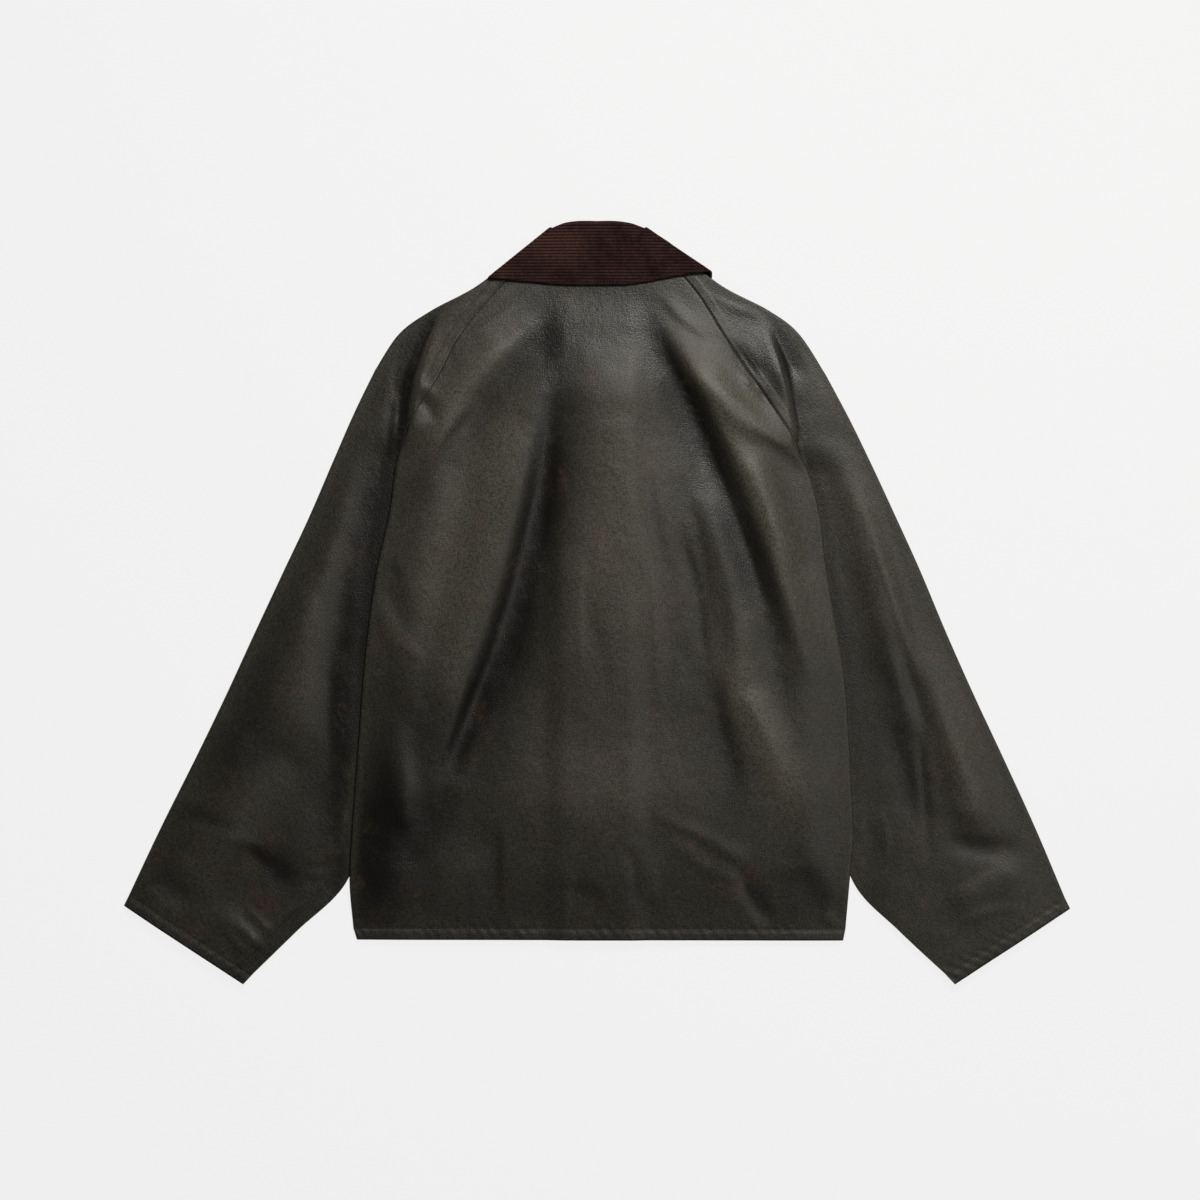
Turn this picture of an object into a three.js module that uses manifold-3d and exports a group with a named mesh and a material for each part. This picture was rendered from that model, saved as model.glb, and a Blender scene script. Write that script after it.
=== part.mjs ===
// A short raglan jacket of waxed cotton with a corduroy collar, laid face down on a flat surface.
// Millimetres. +X is the wearer's right, +Y points from the hem to the collar, +Z is up, off the surface.
// Every piece of cloth is a closed wall between an outer and an inner sheet of points.
import * as THREE from "three";
import Module from "manifold-3d";
import { mergeVertices } from "three/addons/utils/BufferGeometryUtils.js";

const wasm = await Module();
wasm.setup();

// Driving sizes
const CLOTH = 1.6; // wall of the cloth with its seam allowances
const SEAM_GAP = 0.3; // space between two pieces that are sewn together
const LAYER = CLOTH + SEAM_GAP; // rise from one layer of cloth to the next
const HEM_RAISE = 0.8; // a turned hem is this much thicker than the cloth
const FOLD_RADIUS = (LAYER + CLOTH) / 2; // round edge of a sleeve along the top of the arm
const FOLD_INSIDE = FOLD_RADIUS - CLOTH;

// Loose cloth over the hidden layers
const BODY_AIR = 8; // under the back and the top of the sleeves
const ARM_AIR = 3; // inside a sleeve, outside the fold where the body lies over it
const STEP_WIDTH = 14; // over which the upper cloth steps down at that fold
const EDGE_FADE = 45; // folds die away over this distance from an outer edge
const SIDE_FADE = 55; // and over this one from the side of the body
const SLEEVE_REST = 10; // a sleeve stays pressed this far out from under the body
const HEM_FADE = 75;
const HEM_REST = 0.2; // share of the air that is left at the hem

// The body lies over the inner edge of each sleeve
const TUCK_RISE = 2 * LAYER;
const TUCK_FLAT = 34; // width of the raised strip
const TUCK_RAMP = 75; // from the side to where the front is down on the surface
const TUCK_END = { full: -285, none: -326 }; // Y, near the hem

// The front leaves of the collar lie under the fronts
const NECK = { x: 0, y: 345, flat: 132, ramp: 195, rise: 3.2 };
const COLLAR_PRESS = { top: 326, ramp: 120, lift: 1.3 }; // the fall presses the cloth under it

const NECK_DIP = { back: 4.8, front: 26 }; // of the neckline, below the straight between its ends

// Front opening, wearer's left over right, with press studs
const LAP = 22; // half the width of the overlap
const LAP_FLAT = 30; // the cloth is raised as far as this from the centre, and down again at the next
const LAP_DOWN = 56;
const LAP_TOP = 262; // Y of the neckline at the centre front
const STUD = { count: 6, top: 240, spacing: 105, cap: 7.5, neck: 2, ring: 5, sides: 12 };
const STUD_CAP_HEIGHT = 1.4;
const STUD_RING_HEIGHT = 0.8;
const STUD_LIFT = 0.2; // of the caps over the surface
const PLACKET_RISE = STUD_LIFT + STUD_CAP_HEIGHT + SEAM_GAP;

// Collar
const COLLAR_WALL = 2;
const COLLAR_MIDDLE = 5.6; // height about which the collar is folded flat
const FALL_OUT = COLLAR_MIDDLE - COLLAR_WALL / 2; // outer leaf, from that height
const STAND_OUT = 1.6; // inner leaf
const STAND_WIDTH = 27;
const ROLL_FULLNESS = 4; // the back of the collar stands up this much at its roll
const WALES = 19; // ribs of the corduroy across the outer leaf
const WALE_HEIGHT = 0.6;
const COLLAR_SIDES = { left: -0.985, right: 1.04 };

// Samples along and across the pieces
const STEPS_PER_SECTION = 2;
const ARM_STEPS = 1;
const BACK_COLUMNS = 27;
const FRONT_COLUMNS = 6; // from the overlap to the side
const ARM_TOP_COLUMNS = 9;
const LEAST_AIR = 0.8;
const ARM_UNDER_COLUMNS = 4;

// Side of the body, from the hem up to the armpit: where the cloth folds over the sleeve
const SIDE_SECTIONS = [
  { at: "hem", leftX: -241, leftY: -337, rightX: 247, rightY: -338 },
  { at: "hem stitching", leftX: -244, leftY: -327, rightX: 249, rightY: -327.5 },
  { at: "over the hem", leftX: -244.4, leftY: -325.6, rightX: 249.3, rightY: -326.1 },
  { at: "sleeve comes out", leftX: -248, leftY: -280, rightX: 253, rightY: -280 },
  { at: "low hip", leftX: -246, leftY: -235, rightX: 257, rightY: -235 },
  { at: "hip", leftX: -242, leftY: -180, rightX: 255, rightY: -180 },
  { at: "high hip", leftX: -238, leftY: -125, rightX: 252, rightY: -125 },
  { at: "low waist", leftX: -234, leftY: -70, rightX: 247, rightY: -65 },
  { at: "waist", leftX: -228, leftY: -15, rightX: 238, rightY: -12 },
  { at: "high waist", leftX: -220, leftY: 38, rightX: 229, rightY: 42 },
  { at: "low chest", leftX: -208, leftY: 90, rightX: 224, rightY: 86 },
  { at: "chest", leftX: -201, leftY: 140, rightX: 213, rightY: 128 },
  { at: "armpit", leftX: -188, leftY: 182, rightX: 200, rightY: 160 },
];

// Raglan seams, from the armpit up to the neck, on the back and on the hidden front
const RAGLAN_BACK = [
  { at: "armpit", leftX: -188, leftY: 182, rightX: 200, rightY: 160 },
  { at: "shoulder blade", leftX: -160, leftY: 225, rightX: 162, rightY: 216 },
  { at: "high blade", leftX: -138, leftY: 267, rightX: 129, rightY: 264 },
  { at: "edge of collar", leftX: -105, leftY: 308, rightX: 100, rightY: 310 },
  { at: "neck", leftX: -63, leftY: 353.5, rightX: 62, rightY: 353.5 },
];
const RAGLAN_FRONT = [
  { at: "armpit", leftX: -188, leftY: 182, rightX: 200, rightY: 160 },
  { at: "chest", leftX: -158, leftY: 220, rightX: 160, rightY: 210 },
  { at: "high chest", leftX: -128, leftY: 258, rightX: 126, rightY: 254 },
  { at: "under the collar", leftX: -98, leftY: 289, rightX: 96, rightY: 289 },
  { at: "neck", leftX: -68, leftY: 318, rightX: 73, rightY: 318 },
];

// Underarm edge of each sleeve, from the cuff up to the armpit, most of it under the body
const UNDERARM = [
  { at: "cuff", leftX: -354, leftY: -381.5, rightX: 358, rightY: -381.5 },
  { at: "cuff stitching", leftX: -346, leftY: -373, rightX: 350, rightY: -373 },
  { at: "over the cuff hem", leftX: -345, leftY: -371.8, rightX: 349, rightY: -371.8 },
  { at: "low forearm", leftX: -300, leftY: -328, rightX: 302, rightY: -328 },
  { at: "goes under the body", leftX: -252, leftY: -281, rightX: 258, rightY: -282 },
  { at: "forearm", leftX: -230, leftY: -215, rightX: 238, rightY: -213 },
  { at: "elbow", leftX: -221, leftY: -135, rightX: 236, rightY: -133 },
  { at: "over the elbow", leftX: -215, leftY: -55, rightX: 229, rightY: -55 },
  { at: "upper arm", leftX: -206, leftY: 15, rightX: 217, rightY: 15 },
  { at: "biceps", leftX: -195, leftY: 75, rightX: 212, rightY: 68 },
  { at: "comes out", leftX: -203, leftY: 137, rightX: 216, rightY: 123 },
  { at: "armpit", leftX: -188.6, leftY: 182, rightX: 200.6, rightY: 160 },
];

// Fold along the top of each arm, from the cuff up, then from the armpit's height to the neck
const ARM_TOP = [
  { at: "cuff", leftX: -474, leftY: -303, rightX: 474, rightY: -306 },
  { at: "cuff stitching", leftX: -469, leftY: -293, rightX: 469, rightY: -296 },
  { at: "over the cuff hem", leftX: -468.4, leftY: -291.6, rightX: 468.4, rightY: -294.6 },
  { at: "low forearm", leftX: -437, leftY: -225, rightX: 439, rightY: -225 },
  { at: "forearm", leftX: -402, leftY: -155, rightX: 407, rightY: -155 },
  { at: "elbow", leftX: -372, leftY: -93, rightX: 378, rightY: -93 },
  { at: "over the elbow", leftX: -343, leftY: -30, rightX: 350, rightY: -30 },
  { at: "upper arm", leftX: -314, leftY: 32, rightX: 324, rightY: 32 },
  { at: "biceps", leftX: -289, leftY: 85, rightX: 300, rightY: 85 },
  { at: "high arm", leftX: -264, leftY: 143, rightX: 274, rightY: 141 },
  { at: "deltoid", leftX: -243, leftY: 191, rightX: 252, rightY: 186 },
  { at: "armpit height", leftX: -222, leftY: 234, rightX: 229, rightY: 229 },
];
const SHOULDER = [
  { at: "armpit height", leftX: -222, leftY: 234, rightX: 229, rightY: 229 },
  { at: "shoulder point", leftX: -198, leftY: 270, rightX: 202, rightY: 270 },
  { at: "shoulder", leftX: -166, leftY: 293, rightX: 172, rightY: 293 },
  { at: "edge of collar", leftX: -121, leftY: 317, rightX: 125, rightY: 317.5 },
  { at: "neck", leftX: -74, leftY: 354, rightX: 79, rightY: 353.5 },
];

// Where the upper cloth of the shoulder steps down on the outer sleeve, over the armpit
const SHOULDER_FOLD = [
  { at: "armpit", leftX: -192, leftY: 182, rightX: 203, rightY: 160 },
  { at: "blade", leftX: -184, leftY: 217, rightX: 196, rightY: 200 },
  { at: "high blade", leftX: -178, leftY: 241, rightX: 188, rightY: 240 },
  { at: "shoulder", leftX: -160, leftY: 286, rightX: 170, rightY: 284 },
  { at: "neck", leftX: -120, leftY: 350, rightX: 125, rightY: 350 },
];

// Collar from the centre back round to the front edge: its roll line and the edge of its outer leaf
const COLLAR_BACK = [
  { at: "centre back", rollX: 0, rollY: 376.7, edgeX: 0, edgeY: 317.5 },
  { at: "back", rollX: 19, rollY: 377.2, edgeX: 41, edgeY: 318 },
  { at: "near the side", rollX: 36, rollY: 376.7, edgeX: 79, edgeY: 320.5 },
  { at: "side", rollX: 48, rollY: 373.2, edgeX: 110, edgeY: 323 },
];
const COLLAR_FRONT = [
  { at: "side", rollX: 48, rollY: 373.2, edgeX: 110, edgeY: 323 },
  { at: "under the shoulder", rollX: 44, rollY: 348, edgeX: 104, edgeY: 295 },
  { at: "chest", rollX: 33, rollY: 320, edgeX: 80, edgeY: 258 },
  { at: "front edge", rollX: 7, rollY: 298, edgeX: 33, edgeY: 226 },
];
const COLLAR_STEPS = { back: 4, turn: 3, front: 3, roll: 4, stand: 1 };

// Largest folds of the upper cloth, each along a crest through three places, with its width on the right
// and on the left of somebody who walks along it
const FOLDS = [
  { name: "centre",
    from: [3, 300], by: [14, 103], to: [13, -150], right: 60, left: 56, rise: 8 },
  { name: "left ridge",
    from: [-46, 266], by: [-104, 10], to: [-183, -216], right: 36, left: 15, rise: 11 },
  { name: "left trough",
    from: [-30, 262], by: [-80, 20], to: [-158, -190], right: 16, left: 30, rise: -7 },
  { name: "right ridge",
    from: [55, 303], by: [140, 148], to: [221, -87], right: 13, left: 30, rise: 11 },
  { name: "right trough",
    from: [46, 296], by: [118, 143], to: [204, -92], right: 30, left: 12, rise: -7 },
  { name: "left shoulder blade",
    from: [-50, 300], by: [-130, 214], to: [-194, 110], right: 24, left: 12, rise: 7 },
  { name: "left blade trough",
    from: [-34, 290], by: [-112, 196], to: [-196, 84], right: 12, left: 20, rise: -5 },
  { name: "right shoulder blade",
    from: [88, 243], by: [144, 184], to: [202, 154], right: 11, left: 22, rise: 6 },
  { name: "right of centre",
    from: [104, 150], by: [137, 5], to: [146, -90], right: 13, left: 24, rise: 5 },
  { name: "swell over the hem",
    from: [-125, -178], by: [0, -192], to: [130, -186], right: 46, left: 64, rise: 6 },
  { name: "low on the right",
    from: [128, -50], by: [171, -141], to: [205, -225], right: 18, left: 24, rise: 5 },
  { name: "low on the left",
    from: [-216, -90], by: [-198, -160], to: [-186, -228], right: 16, left: 16, rise: 4 },
  { name: "left arm",
    from: [-232, 200], by: [-291, -27], to: [-310, -165], right: 42, left: 24, rise: 7 },
  { name: "left forearm",
    from: [-312, -150], by: [-356, -214], to: [-400, -296], right: 28, left: 26, rise: 4 },
  { name: "right arm",
    from: [243, 178], by: [283, 43], to: [316, -92], right: 30, left: 15, rise: 6.5 },
  { name: "right forearm",
    from: [330, -10], by: [363, -157], to: [392, -240], right: 18, left: 30, rise: 6 },
];
const FOLD_SAMPLES = 14;
const FOLD_END = 0.36; // share of a fold's length over which each end dies away

// Small helpers
const smooth = (from, to, value) => THREE.MathUtils.smoothstep(value, from, to);
const mix = THREE.MathUtils.lerp;
const flat = (x, y) => new THREE.Vector2(x, y);

// A smooth line through one side of a table, as steps + 1 points for each pair of its rows
function edgeLine(table, side, steps = STEPS_PER_SECTION) {
  const curve = new THREE.SplineCurve(table.map((row) => flat(row[`${side}X`], row[`${side}Y`])));
  return curve.getPoints((table.length - 1) * steps);
}

// X of a line that climbs steadily, at a height
function lineX(line, y) {
  let k = 1;
  while (k < line.length - 1 && line[k].y < y) {
    k += 1;
  }
  const share = THREE.MathUtils.clamp((y - line[k - 1].y) / (line[k].y - line[k - 1].y), 0, 1);
  return mix(line[k - 1].x, line[k].x, share);
}

// Distance from a place to a line, how far along the line its nearest point is, from 0 to 1, and whether
// the place is on the left of somebody who walks along the line
function nearest(line, x, y) {
  let best = { distance: Infinity, along: 0, onLeft: false };
  for (let k = 1; k < line.length; k += 1) {
    const a = line[k - 1];
    const run = line[k].clone().sub(a);
    const share = THREE.MathUtils.clamp(flat(x - a.x, y - a.y).dot(run) / run.lengthSq(), 0, 1);
    const distance = Math.hypot(x - a.x - run.x * share, y - a.y - run.y * share);
    if (distance < best.distance) {
      const onLeft = run.x * (y - a.y) - run.y * (x - a.x) >= 0;
      best = { distance, along: (k - 1 + share) / (line.length - 1), onLeft };
    }
  }
  return best;
}

// Lines of both sides
const SIDES = ["left", "right"];
const outward = { left: -1, right: 1 };
const lines = {};
for (const side of SIDES) {
  const bodySide = edgeLine(SIDE_SECTIONS, side);
  const raglanBack = edgeLine(RAGLAN_BACK, side);
  const raglanFront = edgeLine(RAGLAN_FRONT, side);
  const shoulder = edgeLine(SHOULDER, side);
  const armTop = edgeLine(ARM_TOP, side, ARM_STEPS);
  lines[side] = {
    bodySide,
    raglanBack,
    backEdge: [...bodySide, ...raglanBack.slice(1)],
    frontEdge: [...bodySide, ...raglanFront.slice(1)],
    overArm: [...armTop, ...shoulder.slice(1)],
    underArm: edgeLine(UNDERARM, side, ARM_STEPS),
    raglanFront,
    bodyFold: [...bodySide, ...edgeLine(SHOULDER_FOLD, side).slice(1)],
    armpit: SIDE_SECTIONS.at(-1)[`${side}Y`],
    chest: SIDE_SECTIONS.at(-2)[`${side}Y`],
  };
}

const folds = FOLDS.map((fold) => ({
  line: new THREE.SplineCurve([fold.from, fold.by, fold.to].map((place) => flat(...place)))
    .getPoints(FOLD_SAMPLES),
  right: fold.right,
  left: fold.left,
  rise: fold.rise,
}));

// Relief of the folds at a place: each is steep on its narrow side and soft on its wide one
function foldRelief(x, y) {
  let relief = 0;
  for (const fold of folds) {
    const { distance, along, onLeft } = nearest(fold.line, x, y);
    const ends = smooth(0, FOLD_END, along) * smooth(0, FOLD_END, 1 - along);
    const width = onLeft ? fold.left : fold.right;
    relief += fold.rise * ends * Math.exp(-((distance / width) ** 2));
  }
  return relief;
}

const sideOf = (x) => (x < 0 ? "left" : "right");

// How far inside the fold of the body a place lies, negative out on the sleeve
function insideBody(x, y) {
  const side = sideOf(x);
  return (lineX(lines[side].bodyFold, y) - x) * outward[side];
}

// From 0 at the armpit and above to 1 where the body lies fully over the sleeve
function belowArmpit(x, y) {
  const { armpit, chest } = lines[sideOf(x)];
  return 1 - smooth(chest, armpit, y);
}

// Rise of cloth over the front leaves of the collar
function neckRise(x, y) {
  return NECK.rise * (1 - smooth(NECK.flat, NECK.ramp, Math.hypot(x - NECK.x, y - NECK.y)));
}

// Height of the underside of the outermost front
function frontRise(x, y) {
  const overSleeve = belowArmpit(x, y) * smooth(TUCK_END.none, TUCK_END.full, y);
  const tuck = TUCK_RISE * overSleeve * (1 - smooth(TUCK_FLAT, TUCK_RAMP, insideBody(x, y)));
  const placket = PLACKET_RISE * (1 - smooth(LAP_FLAT, LAP_DOWN, Math.abs(x)));
  return Math.max(tuck, neckRise(x, y), placket);
}

// The second front lies on the first across the overlap
function lapRise(x, y) {
  const shut = 1 - smooth(LAP_TOP + 10, LAP_TOP + 50, y);
  return LAYER * shut * (1 - smooth(LAP_FLAT, LAP_DOWN, Math.abs(x)));
}

// Loose cloth and folds of the upper layer, dying away at edges
function looseness(x, y, onSleeve) {
  const side = sideOf(x);
  const inside = insideBody(x, y);
  const edge = smooth(0, EDGE_FADE, nearest(lines[side].overArm, x, y).distance - FOLD_RADIUS);
  const gap = onSleeve ? smooth(SLEEVE_REST, SIDE_FADE, -inside) : smooth(0, SIDE_FADE, inside);
  const sideShare = mix(1, gap, belowArmpit(x, y));
  const hem = onSleeve ? 1 : mix(HEM_REST, 1, smooth(0, HEM_FADE, y - SIDE_SECTIONS[0].leftY));
  const open = smooth(0, COLLAR_PRESS.ramp, COLLAR_PRESS.top - y);
  const air = mix(ARM_AIR, BODY_AIR, smooth(0, STEP_WIDTH, inside));
  const loose = Math.max(LEAST_AIR, air + foldRelief(x, y));
  return edge * sideShare * (hem * open * loose + COLLAR_PRESS.lift * (1 - open));
}

const backUnder = (x, y) => frontRise(x, y) + LAYER + lapRise(x, y) + looseness(x, y, false);
const sleeveUnder = (x, y) => neckRise(x, y) + LAYER + looseness(x, y, true);

// A closed wall between two sheets of points with the same rows and columns
function wall(outer, inner) {
  const rows = outer.length;
  const columns = outer[0].length;
  const position = [outer, inner].flat(2).flatMap((p) => [p.x, p.y, p.z]);
  const at = (layer, r, c) => (layer * rows + r) * columns + c;
  const index = [];
  const quad = (a, b, c, d) => index.push(a, b, c, a, c, d);
  for (let r = 0; r < rows - 1; r += 1) {
    for (let c = 0; c < columns - 1; c += 1) {
      quad(at(0, r, c), at(0, r, c + 1), at(0, r + 1, c + 1), at(0, r + 1, c));
      quad(at(1, r, c), at(1, r + 1, c), at(1, r + 1, c + 1), at(1, r, c + 1));
    }
    quad(at(0, r, 0), at(0, r + 1, 0), at(1, r + 1, 0), at(1, r, 0));
    quad(at(0, r + 1, columns - 1), at(0, r, columns - 1), at(1, r, columns - 1), at(1, r + 1, columns - 1));
  }
  for (let c = 0; c < columns - 1; c += 1) {
    quad(at(0, 0, c + 1), at(0, 0, c), at(1, 0, c), at(1, 0, c + 1));
    quad(at(0, rows - 1, c), at(0, rows - 1, c + 1), at(1, rows - 1, c + 1), at(1, rows - 1, c));
  }
  const geometry = new THREE.BufferGeometry();
  geometry.setAttribute("position", new THREE.Float32BufferAttribute(position, 3));
  geometry.setIndex(index);
  return volume(geometry) > 0 ? geometry : turnedOut(geometry);
}

function volume(geometry) {
  const place = geometry.getAttribute("position");
  const corner = [0, 1, 2].map(() => new THREE.Vector3());
  let sum = 0;
  for (let k = 0; k < geometry.index.count; k += 3) {
    corner.forEach((point, n) => point.fromBufferAttribute(place, geometry.index.getX(k + n)));
    sum += corner[0].dot(corner[1].clone().cross(corner[2]));
  }
  return sum / 6;
}

function turnedOut(geometry) {
  const index = Array.from(geometry.index.array);
  for (let k = 0; k < index.length; k += 3) {
    [index[k], index[k + 1]] = [index[k + 1], index[k]];
  }
  geometry.setIndex(index);
  return geometry;
}

// Sheets over a plan: each section runs from one end to the other, with a point at each share of its
// length, and dips in its middle
function panel(starts, ends, sharesOf, dip, under, thickness) {
  const outer = [];
  const inner = [];
  starts.forEach((start, r) => {
    const end = ends[r];
    const dipHere = dip(r / (starts.length - 1));
    const points = sharesOf(start.distanceTo(end)).map((u) =>
      flat(mix(start.x, end.x, u), mix(start.y, end.y, u) + dipHere * 4 * u * (1 - u)));
    inner.push(points.map((p) => new THREE.Vector3(p.x, p.y, under(p.x, p.y))));
    outer.push(points.map((p) => new THREE.Vector3(p.x, p.y, under(p.x, p.y) + thickness(r))));
  });
  return wall(outer, inner);
}

const movedIn = (line, side) => line.map((p) => flat(p.x - SEAM_GAP * outward[side], p.y));
const even = (count) => Array.from({ length: count + 1 }, (_, k) => k / count);
const hemmed = (row, steps) => CLOTH + (row <= steps ? HEM_RAISE : 0);

function backPanel() {
  const [left, right] = SIDES.map((side) => movedIn(lines[side].backEdge, side));
  const dip = (share) => -NECK_DIP.back * smooth(0.8, 1, share);
  const thickness = (row) => hemmed(row, STEPS_PER_SECTION);
  return panel(left, right, () => even(BACK_COLUMNS), dip, backUnder, thickness);
}

// The free edge of each front runs from the hem to the neck, past the centre
function frontPanel(side) {
  const outerEdge = movedIn(lines[side].frontEdge, side);
  const last = outerEdge.length - 1;
  const hemY = outerEdge[0].y;
  const freeEdge = outerEdge.map((p, r) => flat(-LAP * outward[side], mix(hemY, LAP_TOP + 2, r / last)));
  const dip = (share) => -NECK_DIP.front * smooth(0.72, 1, share);
  const under = side === "left" ? frontRise : (x, y) => frontRise(x, y) + lapRise(x, Math.min(y, LAP_TOP));
  const shares = (width) => {
    const narrow = Math.min(1, width / (LAP_FLAT + LAP_DOWN + LAP * 4));
    const centre = [0, LAP + LAP_FLAT, LAP + LAP_DOWN].map((offset) => (offset * narrow) / width);
    const rest = even(FRONT_COLUMNS).slice(1);
    return [...centre, ...rest.map((u) => mix(centre.at(-1), 1, u))];
  };
  return panel(freeEdge, outerEdge, shares, dip, under, () => CLOTH);
}

// A sleeve is one sheet: its upper half, the round fold along the top of the arm, and its under half
function sleeve(side) {
  const { underArm, raglanBack, raglanFront, overArm } = lines[side];
  const upperEnds = [...underArm, ...raglanBack.slice(1)];
  const underEnds = [...underArm, ...raglanFront.slice(1)];
  const outer = [];
  const inner = [];
  overArm.forEach((fold, r) => {
    const thick = hemmed(r, ARM_STEPS);
    const out = fold.clone().sub(upperEnds[r]).normalize();
    const centre = fold.clone().addScaledVector(out, -FOLD_RADIUS);
    const floor = neckRise(centre.x, centre.y);
    const outerRow = [];
    const innerRow = [];
    for (let k = 0; k <= ARM_TOP_COLUMNS; k += 1) {
      const p = upperEnds[r].clone().lerp(centre, k / ARM_TOP_COLUMNS);
      const under = k === ARM_TOP_COLUMNS ? floor + LAYER : sleeveUnder(p.x, p.y);
      innerRow.push(new THREE.Vector3(p.x, p.y, under));
      outerRow.push(new THREE.Vector3(p.x, p.y, under + (k < ARM_TOP_COLUMNS ? thick : CLOTH)));
    }
    for (const degrees of [45, 0, -45]) {
      const angle = THREE.MathUtils.degToRad(degrees);
      for (const [row, radius] of [[outerRow, FOLD_RADIUS], [innerRow, FOLD_INSIDE]]) {
        const p = centre.clone().addScaledVector(out, radius * Math.cos(angle));
        row.push(new THREE.Vector3(p.x, p.y, floor + FOLD_RADIUS + radius * Math.sin(angle)));
      }
    }
    for (let k = 0; k <= ARM_UNDER_COLUMNS; k += 1) {
      const p = centre.clone().lerp(underEnds[r], k / ARM_UNDER_COLUMNS);
      const low = k === 0 ? floor : neckRise(p.x, p.y);
      outerRow.push(new THREE.Vector3(p.x, p.y, low));
      innerRow.push(new THREE.Vector3(p.x, p.y, low + CLOTH));
    }
    outer.push(outerRow);
    inner.push(innerRow);
  });
  return wall(outer, inner);
}

// Stations of the collar from its left front edge round the back to its right front edge.
// The turn is 0 on the back, half a circle on the front leaf, and between them at the side fold.
function collarStations() {
  const half = (side) => {
    const widen = COLLAR_SIDES[side];
    const curve = (table, end) =>
      new THREE.SplineCurve(table.map((row) => flat(row[`${end}X`] * widen, row[`${end}Y`])));
    const along = (table, steps, turn) => {
      const roll = curve(table, "roll").getPoints(steps);
      const edge = curve(table, "edge").getPoints(steps);
      return roll.map((point, k) => ({ roll: point, edge: edge[k], turn, side }));
    };
    const back = along(COLLAR_BACK, COLLAR_STEPS.back, 0);
    const front = along(COLLAR_FRONT, COLLAR_STEPS.front, Math.PI);
    const turning = [];
    for (let k = 1; k < COLLAR_STEPS.turn; k += 1) {
      turning.push({ ...back.at(-1), turn: (Math.PI * k) / COLLAR_STEPS.turn });
    }
    return [...back, ...turning, ...front];
  };
  return [...half("left").reverse(), ...half("right").slice(1)];
}

// Cross-section of the collar at a station: distance from the outer edge, height from the folded
// middle, and the direction of the outer face there
function collarProfile(length, turn) {
  const onBack = (1 + Math.cos(turn)) / 2;
  const fallOut = (share) => FALL_OUT + ROLL_FULLNESS * onBack * smooth(0, 1, share);
  const points = [];
  const fallSteps = 2 * WALES;
  for (let k = 0; k < fallSteps; k += 1) {
    const share = k / fallSteps;
    const wale = (k % 2) * WALE_HEIGHT * onBack;
    points.push({ along: length * share, out: fallOut(share), faceAlong: 0, faceOut: 1, wale });
  }
  const radius = (fallOut(1) - STAND_OUT) / 2;
  for (let k = 0; k <= COLLAR_STEPS.roll; k += 1) {
    const angle = Math.PI * (0.5 - k / COLLAR_STEPS.roll);
    const face = { faceAlong: Math.cos(angle), faceOut: Math.sin(angle), wale: 0 };
    const place = { along: length + radius * face.faceAlong, out: STAND_OUT + radius * (1 + face.faceOut) };
    points.push({ ...place, ...face });
  }
  for (let k = 1; k <= COLLAR_STEPS.stand; k += 1) {
    const along = length - (STAND_WIDTH * k) / COLLAR_STEPS.stand;
    points.push({ along, out: STAND_OUT, faceAlong: 0, faceOut: -1, wale: 0 });
  }
  return points;
}

function collar() {
  const outer = [];
  const inner = [];
  for (const { roll, edge, turn, side } of collarStations()) {
    const up = roll.clone().sub(edge);
    const length = up.length();
    up.normalize();
    const out = flat(up.y, -up.x).multiplyScalar(outward[side]);
    const place = (along, rise) => {
      const p = edge.clone().addScaledVector(up, along).addScaledVector(out, rise * Math.sin(turn));
      return new THREE.Vector3(p.x, p.y, COLLAR_MIDDLE + rise * Math.cos(turn));
    };
    const profile = collarProfile(length, turn);
    const half = COLLAR_WALL / 2;
    outer.push(profile.map((p) => {
      const reach = half + p.wale;
      return place(p.along + reach * p.faceAlong, p.out + reach * p.faceOut);
    }));
    inner.push(profile.map((p) => place(p.along - half * p.faceAlong, p.out - half * p.faceOut)));
  }
  return wall(outer, inner);
}

// A shut press stud: domed cap outside, neck through both fronts, ring inside
function pressStud() {
  const capTop = STUD_LIFT + STUD_CAP_HEIGHT;
  const ringFoot = PLACKET_RISE + 2 * LAYER;
  const ringTop = ringFoot + STUD_RING_HEIGHT;
  const profile = [
    [0, STUD_LIFT], [STUD.cap * 0.7, STUD_LIFT + 0.2], [STUD.cap, STUD_LIFT + 0.8], [STUD.cap, capTop],
    [STUD.neck, capTop], [STUD.neck, ringFoot], [STUD.ring, ringFoot], [STUD.ring, ringTop], [0, ringTop],
  ];
  const geometry = new THREE.LatheGeometry(profile.map(([x, y]) => flat(x, y)), STUD.sides);
  return geometry.rotateX(Math.PI / 2);
}

// Solids for cutting
function solid(geometry) {
  const plain = geometry.clone();
  plain.deleteAttribute("normal");
  plain.deleteAttribute("uv");
  const merged = mergeVertices(plain, 1e-4);
  const vertProperties = new Float32Array(merged.getAttribute("position").array);
  const triVerts = new Uint32Array(merged.index.array);
  return new wasm.Manifold(new wasm.Mesh({ numProp: 3, vertProperties, triVerts }));
}

function geometryOf(manifold) {
  const mesh = manifold.getMesh();
  const geometry = new THREE.BufferGeometry();
  geometry.setAttribute("position", new THREE.Float32BufferAttribute(mesh.vertProperties, 3));
  geometry.setIndex(Array.from(mesh.triVerts));
  return geometry;
}

const studY = (n) => STUD.top - STUD.spacing * n;

// A front with a hole at each stud
function pierced(geometry) {
  let cloth = solid(geometry);
  const tall = 4 * NECK.rise * LAYER;
  for (let n = 0; n < STUD.count; n += 1) {
    const hole = new THREE.CylinderGeometry(STUD.neck + SEAM_GAP, STUD.neck + SEAM_GAP, tall, STUD.sides);
    hole.rotateX(Math.PI / 2).translate(0, studY(n), 0);
    cloth = cloth.subtract(solid(hole));
  }
  return geometryOf(cloth);
}

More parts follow.
